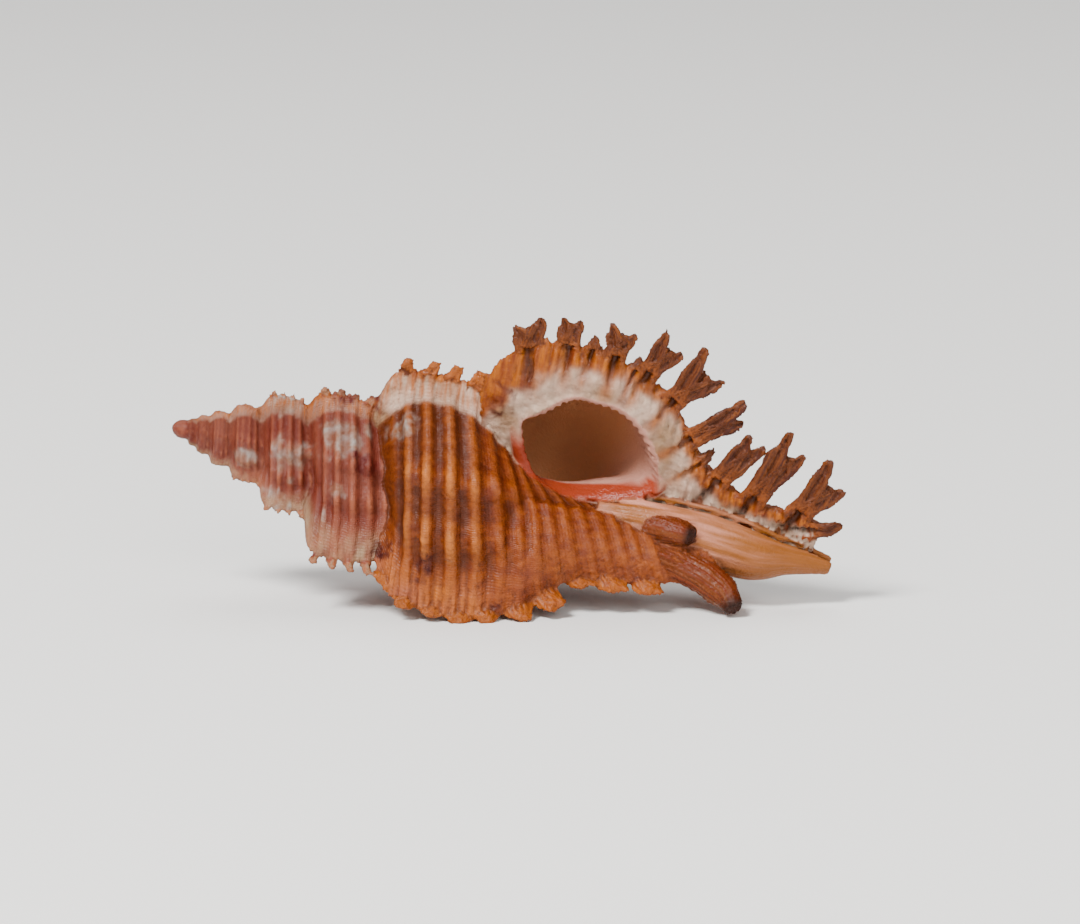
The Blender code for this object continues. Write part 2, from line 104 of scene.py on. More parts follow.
# The canal's centre line and radius: along the axis, up, towards the mouth side, radius.
CANAL = [(58.0, -0.3, 0.4, 3.2), (64.0, -0.2, 0.8, 4.1), (70.0, -0.3, 0.7, 4.3),
         (76.0, -0.9, 0.4, 4.3), (80.0, -1.4, 0.1, 3.8), (84.0, -1.2, -0.3, 2.5),
         (87.5, -1.2, -0.8, 1.7), (89.8, -1.3, -1.2, 1.2)]
SLIT_AZIMUTH = math.radians(40)
SLIT_HALF_WIDTH = 0.35
SLIT_PROUD = 0.8

MOUTH = [(45.5, 12.3), (47.9, 14.6), (50.2, 17.0), (52.1, 18.0), (54.5, 17.8), (57.6, 17.3),
         (60.5, 15.2), (62.9, 11.8), (64.5, 7.6), (63.8, 5.6), (60.2, 4.2), (56.6, 3.0),
         (52.9, 2.6), (49.3, 3.3), (46.8, 6.2), (45.7, 9.3)]
MOUTH_SIDES = 252
CHAMBER_TURNS = 2.4
CHAMBER_OVERRUN = 0.1
CHAMBER_RINGS = 110
THICK_LIP, THICK_LIP_TURN = 0.05, 0.08
THICK_SPIRE, THICK_SPIRE_STARTS, THICK_SPIRE_FULL = 0.18, 0.3, 1.2
# The rim: thick and coral where the mouth meets the whorl and the columella, thin elsewhere.
RIM_OUTSIDE = 0.3
RIM_THIN, RIM_THICK = 0.34, 1.05
CORAL_FROM, CORAL_TO = 0.50, 1.0
TEETH = 21
TEETH_DEPTH = 0.7
SCALLOPS_START, SCALLOPS_FULL = -0.07, -0.01

# Fronds: root, first tip and second tip, each along the axis and radius, and width at the root.
LIP_FRONDS = [
    ((44.9, 22.0), (42.0, 25.4), (45.9, 27.7), 3.4),
    ((49.8, 24.0), (48.1, 28.3), (50.9, 28.5), 3.0),
    ((53.0, 24.4), (53.0, 26.5), (53.6, 26.0), 1.6),
    ((56.1, 23.6), (54.6, 29.0), (58.4, 28.0), 2.9),
    ((59.0, 22.6), (59.2, 24.8), (59.8, 24.2), 1.4),
    ((60.6, 22.0), (62.2, 29.6), (65.4, 26.6), 3.0),
    ((64.3, 18.4), (67.9, 28.6), (71.8, 23.8), 3.2),
    ((67.2, 13.4), (75.0, 21.5), (75.4, 17.9), 3.0),
    ((69.8, 10.6), (71.8, 12.7), (71.2, 12.0), 1.4),
    ((72.3, 7.6), (76.1, 16.7), (78.6, 15.2), 3.0),
    ((77.4, 5.6), (81.1, 18.8), (84.0, 15.4), 3.4),
    ((83.8, 5.0), (87.1, 15.4), (90.2, 10.7), 3.4),
    ((86.2, 3.6), (90.8, 4.9), (89.8, 3.6), 2.0),
]
FRONT_FRONDS = [
    ((32.6, 14.6), (30.6, 17.0), (32.2, 18.6), 2.4),
    ((35.4, 17.2), (33.6, 20.2), (35.4, 20.6), 2.6),
    ((38.6, 18.2), (37.6, 21.0), (39.4, 21.1), 2.8),
    ((42.2, 18.2), (41.4, 21.2), (43.0, 21.1), 2.8),
    ((45.6, 17.2), (45.4, 20.5), (46.9, 20.2), 2.6),
    ((49.2, 15.4), (50.4, 19.4), (52.0, 18.9), 2.8),
    ((52.4, 13.2), (54.8, 17.2), (56.4, 15.4), 2.6),
    ((56.0, 10.4), (58.2, 12.4), (60.0, 11.4), 1.8),
    ((60.2, 9.4), (61.8, 12.5), (64.4, 11.6), 2.4),
    ((65.0, 8.8), (67.4, 11.5), (69.0, 11.0), 2.2),
]
FRONDS_ON_CORDS = [(44.6, 1.10, 3.0), (49.8, 1.12, 3.0), (54.5, 1.12, 3.0), (59.1, 1.16, 2.8),
                   (63.3, 1.22, 2.6), (66.8, 1.28, 2.4)]
OLD_LEANS, OLD_DROP, OLD_RISE, NEWEST_OLD_RISE = (0.2, 2.2), 0.4, 0.7, 1.5
BACK_LEANS, BACK_DROP = (0.5, 2.2), 1.0
BACK_CANAL_LEANS, BACK_CANAL_REACH = (1.6, 3.2), (3.2, 1.8)
BACK_CANAL_FRONDS = (60.0, 65.0, 70.0, 75.0)
BACK_CANAL_FROND_WIDTH = 2.4
FROND_THICKNESS = 1.5
# A frond is a fan: a stem that ends at this share of its reach, and two points that leave it low.
STEM_ENDS, FORK_STARTS = 0.8, 0.1
STEM_WIDTH, FIRST_WIDTH, SECOND_WIDTH = 0.95, 0.62, 0.58
# The front flange's fronds are broad and thin, so that they join into one frilled edge.
FRONT_WIDTH, FRONT_THICKNESS, OLD_WIDTH = 2.0, 0.75, 1.3
OLDEST_FLANGE = -12
# A leaf's half width along it, its thickness at the root, how much of that goes towards the tip,
# and the share of its length that is below its root.
LEAF_BULGE = [(0.0, 0.8), (0.3, 0.8), (0.6, 0.82), (0.82, 0.66), (1.0, 0.2)]
LEAF_THICKNESS, LEAF_THINS, LEAF_SUNK = 0.44, 0.26, 0.25

HOOK = [(66.0, 4.5), (71.5, 6.4), (75.2, 8.2), (77.3, 9.8), (78.2, 11.2)]
HOOK_AZIMUTH, HOOK_RADIUS = math.radians(146), 1.9
STUB = [(60.5, 1.4), (65.0, 3.2), (68.6, 4.9), (70.8, 5.9)]
STUB_AZIMUTH, STUB_RADIUS = math.radians(99), 1.6
STUMP_TAPER = 1.4
# How finely the tubes are made: rings along each, and sides round it. The slit starts at one of
# its rings. The dome and the stumps have ages in turns of growth, and the stumps a mark of theirs.
CANAL_RINGS, CANAL_SIDES = 60, 48
SLIT_RINGS, SLIT_STARTS = 24, 4
STUMP_RINGS, STUMP_SIDES = 30, 32
RIM_SIDES, DOME_SIDES = 20, 20
DOME_AGE, STUMP_AGE, STUMP_MARK = -7.3, -0.66, 0.5
APEX_DOME = [(0.0, 0.3), (0.3, 0.8), (0.8, 1.15), (1.5, 1.35), (2.4, 1.2)]

# What the surface carries from its growth, for the relief and the colours: turns of growth, the
# place across the whorl as at the lip, how far it is a flange, its radius as a share of the
# flange's crest, how far out on a frond, the place round a tube or leaf, and 1 on the canal
# (STUMP_MARK on its stumps).
MARKS = ("age", "across", "flange", "rise", "frond", "side", "canal")
NOISES = ("lump", "grit")
FIRST_VOXEL, LAST_VOXEL = 0.27, 0.23
CAVITY_ROUNDS = 7
# The base of the body whorl begins here on the way across, and its cords are lower.
BASE_FROM, BASE_FULL = 57, 63
# Growth ledges, threads between cords, and folds of the frills.
LEDGES_A_TURN, THREADS_A_CORD, FOLDS_A_CORD = 84, 6, 3
# Heights of the relief at the lip, in millimetres: on the body, on the lip's face, on the fronds,
# and on the canal and the stumps.
RIDGE_HEIGHT, GROOVE_DEPTH, BEAD_HEIGHT, LEDGE_HEIGHT, THREAD_HEIGHT = 0.30, 0.34, 0.55, 0.20, 0.05
MOUND_HEIGHT, GRIT_HEIGHT, FOLD_HEIGHT = 0.9, 0.5, 0.30
FACE_RIDGE_HEIGHT, FACE_CHANNEL_DEPTH, FACE_SWELL, FACE_GRIT_HEIGHT = 0.16, 0.85, 0.15, 0.35
STRIA_HEIGHT, LEAF_CHANNEL_DEPTH, LEAF_MOUND_HEIGHT = 0.12, 0.34, 0.7
CANAL_LINE_HEIGHT, CANAL_MOUND_HEIGHT = 0.03, 0.35
STUMP_LINE_HEIGHT, STUMP_MOUND_HEIGHT = 0.15, 1.6

# Patches seen on the shell: worn chalky ones, and stained ones. Each has its middle in
# millimetres (along, towards the mouth side, up), and its reach.
WORN = [((16.1, 6.5, -0.5), 2.6), ((18.6, 7.2, 0.2), 2.0), ((23.6, 8.1, 3.1), 3.2),
        ((20.6, 7.4, 4.6), 2.6), ((26.5, 8.0, 5.2), 2.4), ((14.1, 4.5, 7.0), 2.4),
        ((10.5, 4.2, -2.3), 1.7), ((14.4, 4.6, -8.0), 2.6), ((30.3, 8.6, 5.9), 2.2),
        ((17.5, 6.4, -4.2), 1.4), ((23.5, 8.2, -4.0), 1.3), ((21.4, 8.0, -8.2), 1.5)]
RED_STAINS = [((27.0, 8.6, 0.3), 1.9), ((25.0, 8.8, 0.9), 1.2), ((19.6, 4.0, 9.2), 1.8),
              ((22.0, 5.0, 9.4), 2.4), ((26.5, 5.2, 8.6), 1.6)]
PURPLE_STAINS = [((36.5, 10.6, -11.8), 1.3), ((36.2, 10.4, -13.6), 1.2), ((37.0, 10.8, -10.2), 0.9),
                 ((47.6, 9.1, -15.4), 1.6), ((30.5, 7.3, -10.5), 1.6)]
BROWN_STAINS = [((42.2, 9.2, 11.6), 2.3), ((43.0, 8.8, 13.4), 1.6)]

# The camera's frame: how many of its pixels are one metre, and what is at its centre.
FRAME_WIDTH, FRAME_PIXELS_A_METRE = 1080, 7490
FRAME_CENTRE = (49.1, 4.87)
AXIS_TILT = math.radians(11.1)
SENSOR_WIDTH = 36
FLOOR_COLOUR, ROOM_COLOUR = "F4F2EE", "F4F4F6"


def smooth_step(low, high, value):
    f = np.clip((value - low) / (high - low), 0, 1)
    return f * f * (3 - 2 * f)


def along_curve(points, places):
    """A smooth curve through listed points, read at the given places along its first axis."""
    known = np.array(points, float)
    x, y = known[:, 0], known[:, 1:]
    slopes = np.gradient(y, x, axis=0)
    i = np.clip(np.searchsorted(x, places) - 1, 0, len(x) - 2)
    step = (x[i + 1] - x[i])[:, None]
    f = np.clip((np.asarray(places) - x[i]) / step[:, 0], 0, 1)[:, None]
    return ((1 + 2 * f) * (1 - f) ** 2 * y[i] + f * (1 - f) ** 2 * step * slopes[i]
            + f * f * (3 - 2 * f) * y[i + 1] + f * f * (f - 1) * step * slopes[i + 1])


def place(along, radius, azimuth, forward=0.0):
    """Points in metres, from millimetres in the growth frame."""
    along, radius, azimuth, forward = np.broadcast_arrays(along, radius, azimuth, forward)
    up = radius * np.cos(azimuth) - forward * np.sin(azimuth)
    to_mouth = radius * np.sin(azimuth) + forward * np.cos(azimuth)
    return np.stack([along, -to_mouth, up], axis=-1) * MM


def scale_at(turn):
    return GROWTH ** turn


def azimuth_at(turn):
    return LIP_AZIMUTH + turn * 2 * math.pi


def flange_turn(flange):
    return flange / FLANGES_A_TURN


def crest_radius(flange, along):
    """How far a flange's crest stands from the axis. Flange 0 is the lip, -1 the one before."""
    size = scale_at(flange_turn(flange))
    outline = {0: LIP_CREST, -1: BACK_CREST, -2: FRONT_CREST}.get(flange)
    if outline is None:
        blunt = 1 + BLUNTNESS * max(0.0, -flange_turn(flange) - BLUNT_FROM) ** BLUNT_POWER
        height = size * blunt * dict(KEPT_HEIGHT).get(flange, 1.0)
        outline = [(u * size, r * height) for u, r in OLD_CREST]
    return np.maximum(along_curve(outline, along)[:, 0], 0)


def add(tree, kind, links=None, **settings):
    """Adds a node. Each link gives an input, by name or number, a value, a socket or a node."""
    node = tree.nodes.new(kind)
    for name, value in settings.items():
        setattr(node, name, value)
    for name, value in (links or {}).items():
        if isinstance(value, bpy.types.Node):
            value = value.outputs[0]
        if isinstance(value, bpy.types.NodeSocket):
            tree.links.new(value, node.inputs[name])
        else:
            node.inputs[name].default_value = value
    return node


def set_curve(node, points, handle="AUTO"):
    """Puts points with both sizes from 0 to 1 on a node's curve."""
    curve = node.mapping.curves[0]
    while len(curve.points) > 2:
        curve.points.remove(curve.points[1])
    curve.points[0].location, curve.points[1].location = points[0], points[-1]
    for point in points[1:-1]:
        curve.points.new(*point)
    for point in curve.points:
        point.handle_type = handle
    node.mapping.use_clip = False
    node.mapping.update()


def new_geometry_tree(name, sockets):
    """A tree with one geometry in and out, and named inputs with their defaults."""
    tree = bpy.data.node_groups.new(name, "GeometryNodeTree")
    tree.interface.new_socket("Geometry", in_out="INPUT", socket_type="NodeSocketGeometry")
    tree.interface.new_socket("Geometry", in_out="OUTPUT", socket_type="NodeSocketGeometry")
    for label, kind, default in sockets:
        socket = tree.interface.new_socket(label, in_out="INPUT", socket_type="NodeSocket" + kind)
        if default is not None:
            socket.default_value = default
    return tree


def run_tree(tree, base, values):
    """The plain mesh that a tree makes of a base mesh."""
    obj = bpy.data.objects.new(tree.name, base)
    bpy.context.scene.collection.objects.link(obj)
    modifier = obj.modifiers.new(tree.name, "NODES")
    modifier.node_group = tree
    for item in tree.interface.items_tree:
        if item.in_out == "INPUT" and item.name in values:
            modifier[item.identifier] = values[item.name]
    mesh = evaluated_mesh(obj)
    bpy.data.objects.remove(obj)
    return mesh


def evaluated_mesh(obj):
    bpy.context.view_layer.update()
    graph = bpy.context.evaluated_depsgraph_get()
    return bpy.data.meshes.new_from_object(obj.evaluated_get(graph))


def mesh_parts(mesh):
    """A mesh's points, triangles and marks as arrays."""
    mesh.calc_loop_triangles()
    points = np.empty(len(mesh.vertices) * 3)
    mesh.vertices.foreach_get("co", points)
    faces = np.empty(len(mesh.loop_triangles) * 3, np.int32)
    mesh.loop_triangles.foreach_get("vertices", faces)
    marks = {}
    for name in MARKS + NOISES:
        marks[name] = np.zeros(len(mesh.vertices))
        if name in mesh.attributes:
            mesh.attributes[name].data.foreach_get("value", marks[name])
    return points.reshape(-1, 3), faces.reshape(-1, 3), marks


def store(mesh, name, kind, values):
    """Writes what each point of a mesh carries under a name."""
    attribute = mesh.attributes.get(name) or mesh.attributes.new(name, kind, "POINT")
    attribute.data.foreach_set("vector" if kind == "FLOAT_VECTOR" else "value",
                               np.asarray(values, np.float32).ravel())


def move_points(mesh, points):
    mesh.vertices.foreach_set("co", points.astype(np.float32).ravel())
    mesh.update()


def mesh_from(name, points, faces, marks):
    mesh = bpy.data.meshes.new(name)
    mesh.from_pydata(np.asarray(points).tolist(), [], np.asarray(faces).tolist())
    for mark, values in marks.items():
        store(mesh, mark, "FLOAT", values)
    return mesh


def loft(rings, marks, closed=False):
    """A closed skin over rings of equal size, as triangles. A mark is one number for each ring,
    or one for each of its points."""
    rings = np.asarray(rings, float)
    count, size = rings.shape[:2]
    a = np.arange(count if closed else count - 1)[:, None]
    i = np.arange(size)[None, :]
    b, j = (a + 1) % count, (i + 1) % size
    quads = np.stack([a * size + i, a * size + j, b * size + j, b * size + i], axis=-1)
    quads = quads.reshape(-1, 4)
    faces = [quads[:, [0, 1, 2]], quads[:, [0, 2, 3]]]
    points = rings.reshape(-1, 3)
    filled = {}
    for name in MARKS:
        value = np.asarray(marks.get(name, 0.0), float)
        value = value[:, None] if value.ndim == 1 else value
        filled[name] = np.broadcast_to(value, (count, size)).ravel()
    if not closed:
        middles = [rings[0].mean(axis=0), rings[-1].mean(axis=0)]
        low, high = len(points), len(points) + 1
        first, last = np.arange(size), (count - 1) * size + np.arange(size)
        faces.append(np.stack([np.roll(first, -1), first, np.full(size, low)], axis=1))
        faces.append(np.stack([last, np.roll(last, -1), np.full(size, high)], axis=1))
        points = np.concatenate([points, middles])
        filled = {name: np.append(v, [v[0], v[-1]]) for name, v in filled.items()}
    faces = np.concatenate(faces)
    corners = points[faces]
    if np.einsum("ij,ij->i", corners[:, 0], np.cross(corners[:, 1], corners[:, 2])).sum() < 0:
        faces = faces[:, ::-1]
    return points, faces, filled


def tube(path, radii, sides, marks, closed=False):
    """A round tube along a path, with each point's place round it as the mark "side"."""
    path = np.asarray(path, float)
    if closed:
        tangents = np.roll(path, -1, axis=0) - np.roll(path, 1, axis=0)
    else:
        tangents = np.gradient(path, axis=0)
    turns = np.linspace(0, 2 * math.pi, sides, endpoint=False)
    circle = np.stack([np.cos(turns), np.sin(turns), np.zeros(sides)], axis=1)
    rings = []
    for point, tangent, radius in zip(path, tangents, radii):
        turned = np.array(Vector(tangent).to_track_quat("Z", "Y").to_matrix())
        rings.append(point + radius * circle @ turned.T)
    round_it = np.linspace(-1, 1, sides, endpoint=False)[None, :]
    return loft(rings, {"side": round_it, **marks}, closed)


def whorl_tree():
    """The growing whorl: a tube's rings become the shell's outline at each step of growth."""
    tree = new_geometry_tree("Growing whorl", [
        ("Rings", "Int", 1200), ("Outline Points", "Int", 190), ("Growth", "Float", GROWTH),
        ("Turns", "Float", TURNS), ("Lip Azimuth", "Float", LIP_AZIMUTH),
        ("Cord Height", "Float", 0.5), ("Rib Height", "Float", 1.0),
        ("Material", "Material", None)])
    given = add(tree, "NodeGroupInput").outputs
    maths = "ShaderNodeMath"
    rings_less = add(tree, maths, {0: given["Rings"], 1: 1.0}, operation="SUBTRACT")
    cylinder = add(tree, "GeometryNodeMeshCylinder", {"Vertices": given["Outline Points"],
                                                      "Side Segments": rings_less, "Radius": 1.0,
                                                      "Depth": 1.0}, fill_type="NGON")
    spot = add(tree, "ShaderNodeSeparateXYZ", {0: add(tree, "GeometryNodeInputPosition")}).outputs

    # How far each ring is in the growth, and where each of its points is on the outline.
    share = add(tree, maths, {0: spot["Z"], 1: 0.5}, operation="ADD")
    first = add(tree, maths, {0: given["Turns"], 1: -1.0}, operation="MULTIPLY")
    turn = add(tree, "ShaderNodeMapRange", {"Value": share, "To Min": first,
                                            "To Max": LIP_OVERRUN}, clamp=False)
    angle = add(tree, maths, {0: spot["Y"], 1: spot["X"]}, operation="ARCTAN2")
    angle = add(tree, maths, {0: angle, 1: 2 * math.pi}, operation="DIVIDE")
    angle = add(tree, maths, {0: angle, 1: 1.0}, operation="FLOORED_MODULO")
    column = add(tree, maths, {0: angle, 1: given["Outline Points"]}, operation="MULTIPLY")
    column = add(tree, maths, {0: column}, operation="ROUND")
    column = add(tree, maths, {0: column, 1: given["Outline Points"]}, operation="FLOORED_MODULO")
    last_column = add(tree, maths, {0: given["Outline Points"], 1: 2.0}, operation="SUBTRACT")

    # Which flange is nearest, and how far each ring is on the way between two.
    phase_of_flange = add(tree, maths, {0: turn, 1: FLANGES_A_TURN}, operation="MULTIPLY")
    between = add(tree, maths, {0: phase_of_flange, 1: 1.0}, operation="FLOORED_MODULO")
    nearest = add(tree, maths, {0: phase_of_flange}, operation="ROUND")
    nearest = add(tree, maths, {0: nearest, 1: 0.0}, operation="MINIMUM")
    turn_of_flange = add(tree, maths, {0: nearest, 1: FLANGES_A_TURN}, operation="DIVIDE")

    # The size of each ring and of its nearest flange, and how much blunter they are when oldest.
    sizes, bluntness = [], []
    for step in (turn, turn_of_flange):
        sizes.append(add(tree, maths, {0: given["Growth"], 1: step}, operation="POWER"))
        older = add(tree, maths, {0: step, 1: -1.0, 2: -BLUNT_FROM}, operation="MULTIPLY_ADD")
        older = add(tree, maths, {0: older, 1: 0.0}, operation="MAXIMUM")
        older = add(tree, maths, {0: older, 1: BLUNT_POWER}, operation="POWER")
        bluntness.append(add(tree, maths, {0: older, 1: BLUNTNESS, 2: 1.0},
                             operation="MULTIPLY_ADD"))
    size, flange_size = sizes
    width = add(tree, maths, {0: bluntness[0], 1: size}, operation="MULTIPLY")
    end = add(tree, maths, {0: WHORL_END, 1: size}, operation="DIVIDE")
    end = add(tree, maths, {0: end, 1: WHORL_STOPS}, operation="MINIMUM")
    at_lip = add(tree, "ShaderNodeMapRange", {"Value": column, "From Min": 1.0,
                                              "From Max": last_column, "To Min": WHORL_STARTS,
                                              "To Max": end})
    along = add(tree, maths, {0: at_lip, 1: size}, operation="MULTIPLY")
    on_flange = add(tree, maths, {0: along, 1: flange_size}, operation="DIVIDE")

    # Every outline is a curve: what it reads, its points, a value that none of them passes, and
    # whether it runs straight between them.
    read = {}
    for name, value, points, top, handle in (
            ("phase", at_lip, [(WHORL_STARTS, -1.0)] + [(u, i) for i, u in enumerate(CORDS)],
             len(CORDS), "VECTOR"),
            ("rib", between, RIB_PROFILE, 1, "AUTO"),
            ("rib fade", at_lip, RIB_FADE, 1, "VECTOR"),
            ("outline", at_lip, WHORL_OUTLINE, TALLEST, "AUTO"),
            ("kept", nearest, KEPT_HEIGHT, 2, "VECTOR"),
            ("old", on_flange, [(30.0, 0.0)] + OLD_CREST + [(75.0, 0.0)], TALLEST, "AUTO"),
            ("lip", along, [(20.0, 0.0)] + LIP_CREST + [(100.0, 0.0)], TALLEST, "AUTO"),
            ("back", along, [(20.0, 0.0)] + BACK_CREST + [(100.0, 0.0)], TALLEST, "AUTO"),
            ("front", along, [(20.0, 0.0)] + FRONT_CREST + [(100.0, 0.0)], TALLEST, "AUTO")):
        low, high = points[0][0], points[-1][0]
        place_on = add(tree, "ShaderNodeMapRange", {"Value": value, "From Min": low,
                                                    "From Max": high})
        node = add(tree, "ShaderNodeFloatCurve", {"Value": place_on})
        set_curve(node, [((x - low) / (high - low), y / top) for x, y in points], handle)
        read[name] = add(tree, maths, {0: node, 1: top}, operation="MULTIPLY")

    cords = add(tree, maths, {0: read["phase"], 1: 2 * math.pi}, operation="MULTIPLY")
    cords = add(tree, maths, {0: cords}, operation="COSINE")
    fade = add(tree, "ShaderNodeMapRange", {"Value": at_lip, "From Min": CORDS[0],
                                            "From Max": CORDS[0] + CORDS_FADE_IN},
               interpolation_type="SMOOTHSTEP")
    cords = add(tree, maths, {0: cords, 1: fade}, operation="MULTIPLY")
    fade = add(tree, "ShaderNodeMapRange", {"Value": at_lip, "From Min": BASE_CORDS_FROM,
                                            "From Max": BASE_CORDS_FULL, "To Min": 1.0,
                                            "To Max": BASE_CORDS})
    cords = add(tree, maths, {0: cords, 1: fade}, operation="MULTIPLY")
    cords = add(tree, maths, {0: cords, 1: given["Cord Height"]}, operation="MULTIPLY")
    rib = add(tree, maths, {0: read["rib"], 1: read["rib fade"]}, operation="MULTIPLY")
    rib = add(tree, maths, {0: rib, 1: given["Rib Height"]}, operation="MULTIPLY")
    radius = add(tree, maths, {0: read["outline"], 1: cords}, operation="ADD")
    radius = add(tree, maths, {0: radius, 1: rib}, operation="ADD")
    radius = add(tree, maths, {0: radius, 1: width}, operation="MULTIPLY")

    # A flange rises slowly as the shell grows towards it, and falls at once behind it.
    gap = add(tree, maths, {0: phase_of_flange, 1: nearest}, operation="SUBTRACT")
    gap = add(tree, maths, {0: gap, 1: 2 * math.pi / FLANGES_A_TURN}, operation="MULTIPLY")
    fall = add(tree, maths, {0: gap, 1: -1 / FALL, 2: 1.0}, operation="MULTIPLY_ADD")
    fall = add(tree, maths, {0: fall, 1: 0.0}, operation="MAXIMUM")
    fall = add(tree, maths, {0: fall, 1: FALL_POWER}, operation="POWER")
    rise, power = (
        add(tree, "ShaderNodeMapRange", {"Value": at_lip, "From Min": BASE_STARTS,
                                         "From Max": BASE_ENDS, "To Min": above,
                                         "To Max": below}, interpolation_type="SMOOTHSTEP")
        for above, below in ((RISE, RISE_AT_BASE), (RISE_POWER, BASE_RISE_POWER)))
    rise = add(tree, maths, {0: gap, 1: rise}, operation="DIVIDE")
    rise = add(tree, maths, {0: rise, 1: 1.0}, operation="ADD")
    rise = add(tree, maths, {0: rise, 1: 0.0}, operation="MAXIMUM")
    rise = add(tree, maths, {0: rise, 1: power}, operation="POWER")
    past = add(tree, maths, {0: gap, 1: 0.0}, operation="GREATER_THAN")
    stands = add(tree, "GeometryNodeSwitch", {"Switch": past, "False": rise, "True": fall},
                 input_type="FLOAT")

    # The crest: one of the three newest flanges' own, or the old ones' shared outline.
    old_height = add(tree, maths, {0: bluntness[1], 1: read["kept"]}, operation="MULTIPLY")
    old_height = add(tree, maths, {0: old_height, 1: flange_size}, operation="MULTIPLY")
    old_crest = add(tree, maths, {0: read["old"], 1: old_height}, operation="MULTIPLY")
    which = add(tree, maths, {0: nearest, 1: -1.0}, operation="MULTIPLY")
    which = add(tree, maths, {0: which, 1: 3.0}, operation="MINIMUM")
    crest = add(tree, "GeometryNodeIndexSwitch", data_type="FLOAT")
    while len(crest.index_switch_items) < 4:
        crest.index_switch_items.new()
    tree.links.new(which.outputs[0], crest.inputs["Index"])
    for i, source in enumerate([read["lip"], read["back"], read["front"], old_crest]):
        tree.links.new(source.outputs[0], crest.inputs[i + 1])
    crest_cords = add(tree, maths, {0: cords, 1: size}, operation="MULTIPLY")
    crest_cords = add(tree, maths, {0: crest_cords, 1: CORDS_ON_CREST}, operation="MULTIPLY")
    crest_cords = add(tree, maths, {0: crest_cords, 1: crest}, operation="ADD")
    lift = add(tree, maths, {0: crest_cords, 1: radius}, operation="SUBTRACT")
    lift = add(tree, maths, {0: lift, 1: 0.0}, operation="MAXIMUM")
    stood = add(tree, maths, {0: lift, 1: stands, 2: radius}, operation="MULTIPLY_ADD")

    # The first and last points of each ring lie inside the shell and close it.
    before = add(tree, maths, {0: column, 1: 0.5}, operation="LESS_THAN")
    after = add(tree, maths, {0: column, 1: last_column}, operation="SUBTRACT")
    after = add(tree, maths, {0: after, 1: 0.5}, operation="GREATER_THAN")
    behind = add(tree, maths, {0: before, 1: after}, operation="MAXIMUM")
    inside = add(tree, maths, {0: size, 1: -0.5}, operation="MULTIPLY")
    final = add(tree, "GeometryNodeSwitch", {"Switch": behind, "False": stood, "True": inside},
                input_type="FLOAT")
    azimuth = add(tree, maths, {0: turn, 1: 2 * math.pi, 2: given["Lip Azimuth"]},
                  operation="MULTIPLY_ADD")
    sine = add(tree, maths, {0: azimuth}, operation="SINE")
    cosine = add(tree, maths, {0: azimuth}, operation="COSINE")
    y = add(tree, maths, {0: final, 1: sine}, operation="MULTIPLY")
    y = add(tree, maths, {0: y, 1: -1.0}, operation="MULTIPLY")
    z = add(tree, maths, {0: final, 1: cosine}, operation="MULTIPLY")
    point = add(tree, "ShaderNodeCombineXYZ", {0: along, 1: y, 2: z})
    point = add(tree, "ShaderNodeVectorMath", {0: point, "Scale": MM}, operation="SCALE")
    rise_share = add(tree, maths, {0: final, 1: crest}, operation="DIVIDE")
    rise_share = add(tree, maths, {0: rise_share, 1: 1.2}, operation="MINIMUM")
    shape = cylinder
    for name, value in (("age", turn), ("across", at_lip), ("flange", stands),
                        ("rise", rise_share)):
        shape = add(tree, "GeometryNodeStoreNamedAttribute",
                    {"Geometry": shape, "Name": name, "Value": value},
                    data_type="FLOAT", domain="POINT")
    shape = add(tree, "GeometryNodeSetPosition", {"Geometry": shape, "Position": point})
    shape = add(tree, "GeometryNodeRealizeInstances", {0: shape})
    shape = add(tree, "GeometryNodeSetMaterial", {"Geometry": shape,
                                                  "Material": given["Material"]})
    add(tree, "NodeGroupOutput", {0: shape})
    return tree


